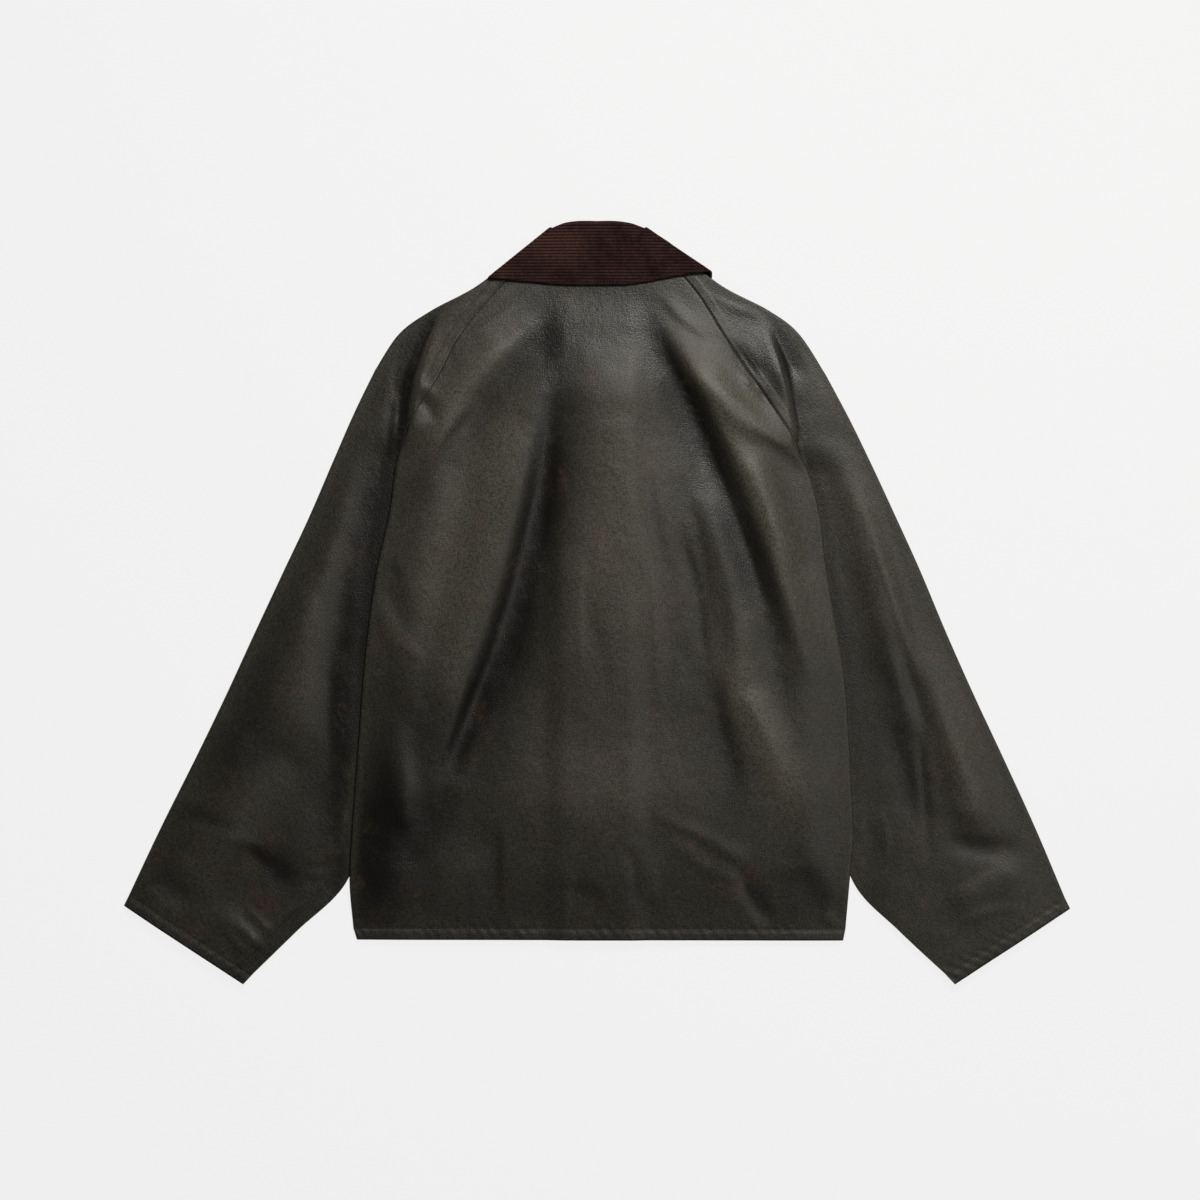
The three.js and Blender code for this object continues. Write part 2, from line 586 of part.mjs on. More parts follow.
// Materials, with the colours of the real finishes
const waxedCotton = () => new THREE.MeshStandardMaterial({ color: 0x3f3e37, roughness: 0.62, metalness: 0 });
const corduroy = () => new THREE.MeshStandardMaterial({ color: 0x3a251c, roughness: 0.9, metalness: 0 });
const agedBrass = () => new THREE.MeshStandardMaterial({ color: 0x7d6a45, roughness: 0.4, metalness: 1 });

const jacket = new THREE.Group();

function add(name, geometry, material) {
  const mesh = new THREE.Mesh(geometry, material);
  mesh.name = name;
  jacket.add(mesh);
  return mesh;
}

add("back", backPanel(), waxedCotton());
for (const side of SIDES) {
  add(`front_${side}`, pierced(frontPanel(side)), waxedCotton());
  add(`sleeve_${side}`, sleeve(side), waxedCotton());
}
add("collar", collar(), corduroy());
for (let n = 0; n < STUD.count; n += 1) {
  const lift = frontRise(0, studY(n)) - PLACKET_RISE;
  add(`stud_${n + 1}`, pressStud(), agedBrass()).position.set(0, studY(n), lift);
}

export default jacket;
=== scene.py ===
"""A short raglan jacket of waxed cotton with a corduroy collar, laid face down, seen from its back.

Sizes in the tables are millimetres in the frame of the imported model: +X the wearer's right, +Y from the
hem to the collar, +Z up, off the surface that the jacket lies on.
"""

import math

import bpy
import numpy as np
from bpy.props import FloatProperty, FloatVectorProperty, PointerProperty
from bpy.types import Operator, Panel, PropertyGroup
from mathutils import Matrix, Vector


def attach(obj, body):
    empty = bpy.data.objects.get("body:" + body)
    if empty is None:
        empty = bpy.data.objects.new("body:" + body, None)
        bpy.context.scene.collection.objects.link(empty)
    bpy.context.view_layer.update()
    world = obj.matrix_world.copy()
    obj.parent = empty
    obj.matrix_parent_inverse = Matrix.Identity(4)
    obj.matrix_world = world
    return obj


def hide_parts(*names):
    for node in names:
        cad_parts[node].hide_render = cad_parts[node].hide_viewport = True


bl_info = {
    "name": "Waxed Cotton Jacket",
    "version": (1, 0, 0),
    "blender": (4, 5, 0),
    "location": "3D View > Sidebar > Jacket",
    "description": "Builds a waxed cotton jacket with a corduroy collar over its packed solids",
    "category": "Add Mesh",
}

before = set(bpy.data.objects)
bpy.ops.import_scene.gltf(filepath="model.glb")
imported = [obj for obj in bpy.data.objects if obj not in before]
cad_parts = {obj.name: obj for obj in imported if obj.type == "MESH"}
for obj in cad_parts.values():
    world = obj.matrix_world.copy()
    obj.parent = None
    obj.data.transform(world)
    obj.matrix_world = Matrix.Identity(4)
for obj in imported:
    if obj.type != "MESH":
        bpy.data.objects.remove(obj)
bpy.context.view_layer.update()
MM = 0.001

# Sizes of the solids, which the visible cloth follows
CLOTH = 1.6
SEAM_GAP = 0.3
LAYER = CLOTH + SEAM_GAP
HEM_RAISE = 0.8
FOLD_RADIUS = (LAYER + CLOTH) / 2

# Loose cloth over the hidden layers, and the distances over which it dies away
BODY_AIR = 8.0
ARM_AIR = 3.0
LEAST_AIR = 0.8
SLEEVE_REST = 10.0
STEP_WIDTH = 14.0
EDGE_FADE = 45.0
SIDE_FADE = 55.0
HEM_FADE = 75.0
HEM_REST = 0.2

# The strip of the body that lies over the inner edge of each sleeve
TUCK_RISE = 2 * LAYER
TUCK_FLAT, TUCK_RAMP = 34.0, 75.0
TUCK_FULL_Y, TUCK_NONE_Y = -285.0, -326.0
ARM_TUCK = 4.0

# The front leaves of the collar lift the cloth over them, and the fall presses it down
NECK_Y, NECK_FLAT, NECK_RAMP, NECK_RISE = 345.0, 132.0, 195.0, 3.2
PRESS_TOP, PRESS_RAMP, PRESS_LIFT = 326.0, 120.0, 1.3
DIP_BACK, DIP_FRONT = 4.8, 26.0

# Widths of the hems, lengths that set their puckers, and rows of stitches beside the seams
HEM, CUFF_HEM = 10.3, 10.5
HEM_LENGTH, CUFF_LENGTH, SEAM_LENGTH = 488.0, 143.0, 330.0
FELLED_SEAM = 9.2
SEAM_ROWS = 2.2, 2.4

# The lapped fronts and their press studs
LAP, LAP_FLAT, LAP_DOWN, LAP_TOP = 22.0, 30.0, 56.0, 262.0
LAP_ROW, LAP_ROW_ENDS = 4.0, (-330.0, 240.0)
STUDS, STUD_TOP, STUD_SPACING = 6, 240.0, 105.0
STUD_CAP_RADIUS, STUD_NECK_RADIUS, STUD_RING_RADIUS = 7.5, 2.0, 5.0
STUD_LIFT, STUD_CAP_HEIGHT, STUD_RING_HEIGHT = 0.2, 1.4, 0.8
PLACKET_RISE = STUD_LIFT + STUD_CAP_HEIGHT + SEAM_GAP

# The collar, folded flat about its middle height
COLLAR_MIDDLE = 5.6
STAND_OUT, STAND_WIDTH = 1.6, 27.0
ROLL_FULLNESS = 4.0
WALES = 19
COLLAR_SIDES = {"left": -0.985, "right": 1.04}
COLLAR_LIFT = {"left": 1.5, "right": 8.0}
COLLAR_LOWER_EDGE = 317.5
LEAF = 1.0
SIDE_PRESS = 0.4
FALL_ROWS, ROLL_ROWS, STAND_ROWS = 114, 14, 8
STITCH_ROW = 0.065

# Outlines, as in the solids: left X, left Y, right X, right Y
SIDE_SECTIONS = {
    "hem": (-241, -337, 247, -338),
    "hem stitching": (-244, -327, 249, -327.5),
    "over the hem": (-244.4, -325.6, 249.3, -326.1),
    "sleeve comes out": (-248, -280, 253, -280),
    "low hip": (-246, -235, 257, -235),
    "hip": (-242, -180, 255, -180),
    "high hip": (-238, -125, 252, -125),
    "low waist": (-234, -70, 247, -65),
    "waist": (-228, -15, 238, -12),
    "high waist": (-220, 38, 229, 42),
    "low chest": (-208, 90, 224, 86),
    "chest": (-201, 140, 213, 128),
    "armpit": (-188, 182, 200, 160),
}
RAGLAN_BACK = {
    "armpit": (-188, 182, 200, 160),
    "shoulder blade": (-160, 225, 162, 216),
    "high blade": (-138, 267, 129, 264),
    "edge of collar": (-105, 308, 100, 310),
    "neck": (-63, 353.5, 62, 353.5),
}
RAGLAN_FRONT = {
    "armpit": (-188, 182, 200, 160),
    "chest": (-158, 220, 160, 210),
    "high chest": (-128, 258, 126, 254),
    "under the collar": (-98, 289, 96, 289),
    "neck": (-68, 318, 73, 318),
}
UNDERARM = {
    "cuff": (-354, -381.5, 358, -381.5),
    "cuff stitching": (-346, -373, 350, -373),
    "over the cuff hem": (-345, -371.8, 349, -371.8),
    "low forearm": (-300, -328, 302, -328),
    "goes under the body": (-252, -281, 258, -282),
    "forearm": (-230, -215, 238, -213),
    "elbow": (-221, -135, 236, -133),
    "over the elbow": (-215, -55, 229, -55),
    "upper arm": (-206, 15, 217, 15),
    "biceps": (-195, 75, 212, 68),
    "comes out": (-203, 137, 216, 123),
    "armpit": (-188.6, 182, 200.6, 160),
}
ARM_TOP = {
    "cuff": (-474, -303, 474, -306),
    "cuff stitching": (-469, -293, 469, -296),
    "over the cuff hem": (-468.4, -291.6, 468.4, -294.6),
    "low forearm": (-437, -225, 439, -225),
    "forearm": (-402, -155, 407, -155),
    "elbow": (-372, -93, 378, -93),
    "over the elbow": (-343, -30, 350, -30),
    "upper arm": (-314, 32, 324, 32),
    "biceps": (-289, 85, 300, 85),
    "high arm": (-264, 143, 274, 141),
    "deltoid": (-243, 191, 252, 186),
    "armpit height": (-222, 234, 229, 229),
}
SHOULDER = {
    "armpit height": (-222, 234, 229, 229),
    "shoulder point": (-198, 270, 202, 270),
    "shoulder": (-166, 293, 172, 293),
    "edge of collar": (-121, 317, 125, 317.5),
    "neck": (-74, 354, 79, 353.5),
}
SHOULDER_FOLD = {
    "armpit": (-192, 182, 203, 160),
    "blade": (-184, 217, 196, 200),
    "high blade": (-178, 241, 188, 240),
    "shoulder": (-160, 286, 170, 284),
    "neck": (-120, 350, 125, 350),
}

# Rough widths of the laid panels, which set how many columns of points they have
BACK_WIDTH, FRONT_WIDTH, SLEEVE_WIDTH = 490.0, 260.0, 175.0

# Collar: roll X, roll Y, edge X, edge Y
COLLAR_BACK = {
    "centre back": (0, 376.7, 0, 317.5),
    "back": (19, 377.2, 41, 318),
    "near the side": (36, 376.7, 79, 320.5),
    "side": (48, 373.2, 110, 323),
}
COLLAR_FRONT = {
    "side": (48, 373.2, 110, 323),
    "under the shoulder": (44, 348, 104, 295),
    "chest": (33, 320, 80, 258),
    "front edge": (7, 298, 33, 226),
}

# Largest folds: the crest's start, middle and end, then its width on the right and on the left of somebody
# who walks along it, and its rise. A crest that runs down the picture has its picture's left side first.
FOLDS = {
    "centre": ((3, 300), (14, 103), (13, -150), 60, 56, 8),
    "left ridge": ((-46, 266), (-104, 10), (-183, -216), 36, 15, 11),
    "left trough": ((-30, 262), (-80, 20), (-158, -190), 16, 36, -6),
    "right ridge": ((55, 303), (140, 148), (221, -87), 13, 30, 11),
    "right trough": ((46, 296), (118, 143), (204, -92), 30, 12, -7),
    "left shoulder blade": ((-50, 300), (-130, 214), (-194, 110), 24, 12, 7),
    "left blade trough": ((-34, 290), (-112, 196), (-196, 84), 14, 24, -3),
    "right shoulder blade": ((88, 243), (144, 184), (202, 154), 11, 22, 6),
    "right of centre": ((104, 150), (137, 5), (146, -90), 13, 24, 5),
    "swell over the hem": ((-125, -178), (0, -192), (130, -186), 46, 64, 6),
    "low on the right": ((128, -50), (171, -141), (205, -225), 18, 24, 5),
    "low on the left": ((-216, -90), (-198, -160), (-186, -228), 16, 16, 4),
    "left arm": ((-232, 200), (-291, -27), (-310, -165), 42, 24, 7),
    "left forearm": ((-312, -150), (-356, -214), (-400, -296), 28, 26, 4),
    "right arm": ((243, 178), (283, 43), (316, -92), 30, 15, 6.5),
    "right forearm": ((330, -10), (363, -157), (392, -240), 18, 30, 6),
}

# Smaller creases of the worn cloth, with the same columns
CREASES = {
    "bright streak": ((33, 130), (57, 10), (59, -112), 12, 7, 2.0),
    "second streak": ((92, 124), (112, 62), (122, -30), 6, 12, 1.4),
    "trough in the centre": ((-10, 5), (4, -50), (8, -100), 9, 9, -1.2),
    "edge in the centre": ((-16, 60), (-18, -10), (-14, -90), 30, 5, 1.5),
    "pull to the neck": ((52, 150), (66, 96), (78, 30), 8, 14, 1.3),
    "low pull right": ((76, 92), (100, 10), (110, -80), 9, 5, -1.5),
    "trough by the hip": ((112, -60), (126, -125), (144, -200), 14, 9, -2.2),
    "hip light": ((144, -84), (164, -122), (190, -176), 7, 14, 1.6),
    "outer ridge right": ((206, 40), (226, -2), (244, -92), 8, 10, 2.4),
    "blade pull": ((146, 146), (172, 92), (196, 30), 8, 16, 1.8),
    "blade light": ((110, 226), (160, 178), (206, 140), 6, 9, 1.4),
    "blade dent": ((136, 262), (150, 240), (160, 224), 9, 6, -2.4),
    "seam wrinkle": ((140, 232), (156, 216), (170, 214), 4, 5, 1.4),
    "second wrinkle": ((152, 222), (162, 212), (180, 188), 4, 5, -1.5),
    "arc over the hem": ((52, -209), (114, -238), (154, -266), 5, 9, 1.5),
    "second arc": ((70, -232), (104, -262), (150, -280), 5, 8, 0.8),
    "trough to the hem": ((137, -252), (156, -298), (178, -322), 8, 12, -2.6),
    "hollow by the hem": ((200, -262), (216, -288), (236, -300), 20, 15, -3.4),
    "hem corner right": ((222, -312), (236, -318), (246, -322), 6, 7, 1.8),
    "low stripe": ((34, -240), (38, -275), (36, -305), 8, 6, -1.8),
    "low light stripe": ((52, -246), (54, -280), (56, -304), 7, 8, 1.2),
    "low dent": ((-30, -280), (-12, -292), (6, -288), 12, 9, -1.6),
    "step at the left": ((-101, -214), (-99, -262), (-100, -316), 24, 4, -2.2),
    "wedge low left": ((-104, -40), (-132, -122), (-160, -190), 10, 14, -2.4),
    "ridge by the wedge": ((-92, -50), (-118, -124), (-146, -200), 8, 16, 1.8),
    "trough low left": ((-140, -180), (-172, -232), (-214, -280), 18, 18, -3.0),
    "tip low left": ((-210, -130), (-196, -185), (-188, -240), 7, 13, 1.8),
    "notch left": ((-222, 42), (-208, 36), (-194, 20), 5, 3, -2.2),
    "under the notch": ((-218, 44), (-206, 8), (-186, -34), 8, 13, -2.2),
    "light by the notch": ((-226, 8), (-212, -20), (-190, -70), 6, 9, 1.6),
    "second light by it": ((-200, -30), (-186, -48), (-170, -58), 5, 8, 1.0),
    "light over the trough": ((-116, 208), (-146, 176), (-182, 128), 7, 5, 1.8),
    "light under it": ((-76, 186), (-104, 146), (-116, 74), 14, 20, 1.2),
    "seam dimple left": ((-178, 206), (-168, 194), (-158, 178), 6, 8, -2.4),
    "light at the dimple": ((-190, 236), (-172, 214), (-152, 204), 6, 6, 1.3),
    "under the dimple": ((-196, 158), (-186, 172), (-170, 186), 7, 9, 1.0),
    "neck pull left": ((-72, 304), (-112, 276), (-150, 262), 4, 7, 1.2),
    "second neck pull": ((-56, 316), (-94, 292), (-134, 270), 3, 8, 1.0),
    "third neck pull": ((-88, 262), (-118, 246), (-146, 240), 4, 6, 0.9),
    "neck pull right": ((62, 312), (84, 286), (116, 262), 5, 8, 1.6),
    "shoulder fold left": ((-172, 289), (-118, 301), (-62, 321), 9, 4, 2.2),
    "shoulder fold right": ((104, 312), (136, 297), (176, 288), 6, 4, 1.8),
    "wedge ridge right": ((163, 288), (178, 246), (202, 196), 10, 7, 1.6),
    "wedge hollow right": ((178, 276), (190, 254), (204, 222), 6, 9, -3.2),
    "outer ridge of arm": ((206, 262), (222, 226), (236, 170), 14, 9, 1.5),
    "hollow of arm left": ((-176, 282), (-196, 232), (-214, 96), 8, 9, -3.2),
    "streak of arm left": ((-200, 222), (-204, 168), (-210, 116), 5, 4, 1.6),
    "inner arm left": ((-236, 100), (-246, -50), (-250, -178), 10, 8, 2.2),
    "trough of arm left": ((-268, -24), (-268, -100), (-262, -184), 9, 7, -1.4),
    "light of arm left": ((-284, 36), (-292, -10), (-300, -60), 9, 8, 1.4),
    "junction ridge left": ((-252, -192), (-256, -236), (-270, -264), 8, 4, 2.8),
    "second ridge by it": ((-266, -232), (-274, -252), (-290, -266), 5, 4, 1.6),
    "junction pull left": ((-256, -262), (-274, -270), (-298, -270), 4, 4, 1.2),
    "elbow hollow left": ((-356, -250), (-326, -262), (-302, -292), 18, 16, -3.2),
    "elbow crease left": ((-386, -236), (-352, -238), (-318, -256), 5, 7, 1.2),
    "band left": ((-450, -226), (-408, -214), (-360, -230), 9, 10, -2.2),
    "cuff hollow left": ((-452, -262), (-428, -284), (-402, -308), 14, 14, -2.8),
    "cuff light left": ((-382, -306), (-358, -326), (-334, -352), 9, 12, 2.2),
    "cuff wrinkle left": ((-366, -312), (-346, -334), (-330, -350), 3, 4, 1.4),
    "second cuff wrinkle": ((-352, -304), (-338, -318), (-322, -334), 3, 4, 1.2),
    "third cuff wrinkle": ((-376, -322), (-360, -342), (-350, -352), 3, 4, 1.0),
    "seam pull left": ((-364, -352), (-334, -330), (-296, -296), 3, 5, 1.2),
    "trough of arm right": ((256, 104), (300, -30), (334, -142), 10, 6, -2.0),
    "light of arm right": ((286, -40), (306, -88), (322, -140), 9, 8, 1.8),
    "hollow of arm right": ((280, -90), (306, -165), (322, -240), 18, 11, -2.2),
    "second trough right": ((322, -132), (328, -190), (332, -262), 5, 5, -1.4),
    "elbow light right": ((346, -196), (366, -208), (390, -222), 10, 12, 1.6),
    "elbow band right": ((346, -238), (388, -246), (432, -240), 11, 9, -2.6),
    "cuff light right": ((350, -304), (392, -280), (440, -262), 16, 11, 2.6),
    "cuff pull right": ((354, -322), (392, -308), (430, -304), 6, 5, 1.0),
    "junction light right": ((256, -252), (262, -262), (268, -266), 4, 4, 2.0),
    "junction crease right": ((268, -214), (276, -240), (272, -268), 4, 3, -1.6),
    "second crease right": ((282, -206), (290, -232), (288, -258), 4, 3, 1.2),
    "third crease right": ((262, -206), (266, -228), (264, -248), 3, 3, 1.0),
}

# Painted shade and light alone, with the same columns: below 0 the cloth is painted darker as shade in the
# long hollows, where it also keeps its wax; above 0 it is painted lighter as light on the ridges, where it is
# also rubbed
PAINTED_SHADE_AND_LIGHT = {
    "left of centre": ((-26, 345), (-90, 50), (-170, -215), 11, 46, -9.0),
    "below the left blade": ((-20, 320), (-112, 196), (-200, 70), 18, 14, -5.0),
    "right of centre": ((26, 345), (108, 150), (200, -110), 22, 11, -8.0),
    "low on the left": ((-140, -60), (-196, -190), (-240, -350), 40, 34, -10.0),
    "by the right hip": ((104, -60), (124, -130), (150, -215), 15, 15, -4.5),
    "inner left arm": ((-206, 190), (-238, -20), (-262, -290), 26, 12, -11.0),
    "outer left arm": ((-240, 190), (-316, -40), (-404, -250), 24, 30, -5.5),
    "left elbow": ((-368, -238), (-330, -262), (-300, -300), 22, 20, -5.0),
    "below the collar": ((-100, 296), (0, 288), (106, 296), 60, 60, -5.0),
    "over the left cuff": ((-420, -240), (-390, -290), (-330, -350), 20, 20, 3.0),
    "right wedge": ((112, 328), (158, 272), (198, 200), 20, 20, -9.0),
    "light on the left": ((-96, 300), (-140, 110), (-206, -80), 40, 40, 8.0),
    "light low on the right": ((118, -10), (166, -140), (212, -250), 20, 24, 9.0),
    "light in the left wedge": ((-118, 312), (-152, 270), (-186, 214), 14, 14, 4.0),
    "under the right arm": ((262, 60), (300, -90), (330, -250), 17, 15, -4.0),
}
FOLD_SAMPLES = 14
FOLD_END = 0.36

RIPPLES = 61
SEEDS = {"back": 11, "left sleeve": 23, "right sleeve": 37, "seams": 41, "collar": 5,
         "hem": 71, "left cuff": 83, "right cuff": 97}
LAMP_COLOUR = (1.0, 0.975, 0.92)
ARM_SLANT = 27.0
SIDES = ("left", "right")
OUTWARD = {"left": -1, "right": 1}


# Small helpers of the shape


def smooth(low, high, value):
    share = np.clip((np.asarray(value, float) - low) / (high - low), 0, 1)
    return share * share * (3 - 2 * share)


def mix(a, b, share):
    return a + (b - a) * share


def spline(points, steps):
    """A smooth line through points, with so many steps between each pair of them."""
    p = np.array(points, float)
    line = []
    for k in range(len(p) - 1):
        before, here = p[max(k - 1, 0)], p[k]
        there, after = p[k + 1], p[min(k + 2, len(p) - 1)]
        out, into = (there - before) / 2, (after - here) / 2
        count = steps if isinstance(steps, int) else steps[k]
        t = (np.arange(count) / count)[:, None]
        cubic = (2 * here - 2 * there + out + into) * t**3
        square = (3 * there - 3 * here - 2 * out - into) * t**2
        line.append(cubic + square + out * t + here)
    return np.vstack([*line, p[-1:]])


def edge_points(table, side):
    first = 0 if side == "left" else 2
    return [row[first : first + 2] for row in table.values()]


def nearest(line, x, y):
    """Distance to a line, share of the way along it, and side of it (1 on its left), at each place."""
    line = np.asarray(line, float)
    best = np.full(np.shape(x), np.inf)
    along = np.zeros(np.shape(x))
    side = np.ones(np.shape(x))
    for k in range(len(line) - 1):
        a, run = line[k], line[k + 1] - line[k]
        dx, dy = x - a[0], y - a[1]
        share = np.clip((dx * run[0] + dy * run[1]) / (run @ run), 0, 1)
        distance = np.hypot(dx - share * run[0], dy - share * run[1])
        closer = distance < best
        best = np.where(closer, distance, best)
        along = np.where(closer, (k + share) / (len(line) - 1), along)
        side = np.where(closer, np.where(run[0] * dy - run[1] * dx >= 0, 1, -1), side)
    return best, along, side


def ripple(x, y, size, seed, stretch=1.0):
    """Soft random relief from -1 to 1, its bumps about size across and stretch times as long."""
    values = np.random.default_rng(seed).uniform(-1, 1, (RIPPLES, RIPPLES))
    turn = math.radians(25 + 40 * (seed % 4))
    u = (x * math.cos(turn) + y * math.sin(turn)) / size + 10 * RIPPLES
    v = (y * math.cos(turn) - x * math.sin(turn)) / (size * stretch) + 10 * RIPPLES
    iu, iv = np.floor(u).astype(int), np.floor(v).astype(int)
    fu, fv = smooth(0, 1, u - iu), smooth(0, 1, v - iv)
    rows = [mix(values[iu % RIPPLES, (iv + j) % RIPPLES], values[(iu + 1) % RIPPLES, (iv + j) % RIPPLES], fu)
            for j in (0, 1)]
    return mix(rows[0], rows[1], fv)


def under_arm_line(side, steps, body_side):
    """Underarm edge, tucked a little under the side of the body from where the sleeve comes out.

    The tuck dies away towards the armpit, where the sleeve is sewn to the body."""
    line = spline(edge_points(UNDERARM, side), steps)
    low, armpit = (edge_points(SIDE_SECTIONS, side)[k][1] for k in (-2, -1))
    tucked = ARM_TUCK * (1 - smooth(low, armpit, line[:, 1])) - 0.5 * SEAM_GAP
    beside = np.interp(line[:, 1], body_side[:, 1], body_side[:, 0]) - tucked * OUTWARD[side]
    out = smooth(edge_points(UNDERARM, side)[-3][1], edge_points(UNDERARM, side)[-2][1] + 8, line[:, 1])
    line[:, 0] = mix(line[:, 0], beside, out)
    return line


def lines_of(side):
    """The edges and seams of one side that heights are worked out from."""
    body_side = spline(edge_points(SIDE_SECTIONS, side), 4)
    arm_top = spline(edge_points(ARM_TOP, side), 4)
    shoulder = spline(edge_points(SHOULDER, side), 6)
    return {
        "body_side": body_side,
        "raglan_back": spline(edge_points(RAGLAN_BACK, side), 6),
        "over_arm": np.vstack([arm_top, shoulder[1:]]),
        "under_arm": under_arm_line(side, 4, body_side),
        "body_fold": np.vstack([body_side, spline(edge_points(SHOULDER_FOLD, side), 2)[1:]]),
        "armpit": edge_points(SIDE_SECTIONS, side)[-1][1],
        "chest": edge_points(SIDE_SECTIONS, side)[-2][1],
    }


LINES = {side: lines_of(side) for side in SIDES}


def fold_relief(table, x, y):
    """Height that the folds of a table add, or for the painted shade and light table how much darker or
    lighter it paints: each is steep on its narrow side and soft on its wide one.
    """
    relief_and_painted_shade = np.zeros(np.shape(x))
    for start, middle, end, right, left, rise in table.values():
        line = spline([start, middle, end], FOLD_SAMPLES // 2)
        distance, along, side = nearest(line, x, y)
        width = np.where(side > 0, left, right)
        ends = smooth(0, FOLD_END, along) * smooth(0, FOLD_END, 1 - along)
        relief_and_painted_shade += rise * ends * np.exp(-((distance / width) ** 2))
    return relief_and_painted_shade


def by_side(x, y, function):
    """A value that is worked out from the left lines where x is below 0 and from the right ones elsewhere."""
    return np.where(x < 0, function("left", x, y), function("right", x, y))


def inside_body(x, y):
    def one(side, x, y):
        fold = LINES[side]["body_fold"]
        return (np.interp(y, fold[:, 1], fold[:, 0]) - x) * OUTWARD[side]

    return by_side(x, y, one)


def below_armpit(x, y):
    return by_side(x, y, lambda s, x, y: 1 - smooth(LINES[s]["chest"], LINES[s]["armpit"], y))


def neck_rise(x, y):
    return NECK_RISE * (1 - smooth(NECK_FLAT, NECK_RAMP, np.hypot(x, y - NECK_Y)))


def front_rise(x, y):
    over = below_armpit(x, y) * smooth(TUCK_NONE_Y, TUCK_FULL_Y, y)
    tuck = TUCK_RISE * over * (1 - smooth(TUCK_FLAT, TUCK_RAMP, inside_body(x, y)))
    placket = PLACKET_RISE * (1 - smooth(LAP_FLAT, LAP_DOWN, np.abs(x)))
    return np.maximum(np.maximum(tuck, neck_rise(x, y)), placket)


def lap_rise(x, y):
    shut = 1 - smooth(LAP_TOP + 10, LAP_TOP + 50, y)
    return LAYER * shut * (1 - smooth(LAP_FLAT, LAP_DOWN, np.abs(x)))


def arm_edge(x, y):
    return by_side(x, y, lambda s, x, y: nearest(LINES[s]["over_arm"], x, y)[0]) - FOLD_RADIUS


def fades(x, y, on_sleeve):
    """How much of the loose form is left towards the edges, and how much of the small creases."""
    edge = arm_edge(x, y)
    inside = inside_body(x, y)
    low = below_armpit(x, y)
    gap = smooth(SLEEVE_REST, SIDE_FADE, -inside) if on_sleeve else smooth(0, SIDE_FADE, inside)
    near = smooth(0, 12, -inside) if on_sleeve else smooth(-1, 12, inside)
    loose = smooth(0, EDGE_FADE, edge) * mix(1, gap, low)
    fine = smooth(-1, 12, edge) * mix(1, near, low)
    return loose, fine


def crumple(x, y, seed):
    """Soft dents that handling leaves all over stiff waxed cloth."""
    broad = 0.55 * ripple(x, y, 48, seed, 1.7)
    middle = 0.34 * ripple(x, y, 19, seed + 1, 1.5)
    fine = 0.13 * ripple(x, y, 8, seed + 2, 1.3)
    return broad + middle + fine


def arm_painted_shadow(x, y):
    """Painted shadow on a sleeve beside the body's edge, where the body lies over it: darkest at the
    shoulder, less down the side.
    """
    outside = -inside_body(x, y)
    high = mix(0.25, 1, smooth(-280, 60, y)) * smooth(0, 24, 300 - y)
    close = smooth(-2.5, 1.5, outside) * np.exp(-((np.maximum(outside, 0) / 9) ** 2))
    wide = smooth(-2, 6, outside) * np.exp(-((np.maximum(outside, 0) / 30) ** 2))
    return high * np.where(x < 0, 1.0, 0.75) * (9 * close + 3.5 * wide)


def shoulder_step(x, y):
    """The fold that runs on from the body's side over the shoulder, higher on the body's side of it."""
    inside = inside_body(x, y)
    above = 1 - below_armpit(x, y)
    crest = 1.5 * smooth(-5, 4, inside) * np.exp(-((np.maximum(inside, 0) / 16) ** 2))
    return above * smooth(0, 30, 306 - y) * crest


def upper_height(x, y, on_sleeve, seed):
    """Top of the upper cloth over the air below it, and its painted shading: darker in hollows and creases,
    lighter on ridges.
    """
    loose, fine = fades(x, y, on_sleeve)
    hem = 1.0 if on_sleeve else mix(HEM_REST, 1, smooth(0, HEM_FADE, y - SIDE_SECTIONS["hem"][1]))
    opened = smooth(0, PRESS_RAMP, PRESS_TOP - y)
    air = mix(ARM_AIR, BODY_AIR, smooth(-2, STEP_WIDTH / 2, inside_body(x, y)))
    relief_and_painted_shade = fold_relief(FOLDS, x, y)
    creases = fold_relief(CREASES, x, y) + crumple(x, y, seed) + shoulder_step(x, y)
    lift = loose * (hem * opened * np.maximum(LEAST_AIR, air + relief_and_painted_shade) + PRESS_LIFT * (1 - opened))
    shown = fine * mix(0.4, 1, opened) * mix(0.4, 1, loose) * creases
    base = neck_rise(x, y) if on_sleeve else front_rise(x, y) + lap_rise(x, y)
    floor = base + LAYER
    height = np.maximum(floor + lift + shown, floor + 0.05 * loose) + CLOTH
    # Painted shade and light for the cloth's colour: darker where the folds and creases sink, lighter where
    # they rise
    tint = (relief_and_painted_shade - 2 + creases + fold_relief(PAINTED_SHADE_AND_LIGHT, x, y)) * fine
    # A sleeve also gets a painted shadow beside the body's edge
    return height, tint - arm_painted_shadow(x, y) if on_sleeve else tint


def seam_form(x, y, line, allowance_side):
    """A sewn seam: the cloth dips into it, and lies thicker over the allowances on one side."""
    distance, along, side = nearest(line, x, y)
    groove = -0.4 * np.exp(-((distance / 0.9) ** 2))
    ridge = 0.35 * smooth(0.5, 2, distance) * (1 - smooth(8, 11, distance))
    pucker = 0.2 * ripple(along * SEAM_LENGTH, distance, 7, SEEDS["seams"], 2.0)
    pucker = pucker * (1 - smooth(4, 16, distance))
    return groove + np.where(side == allowance_side, ridge, 0) + pucker


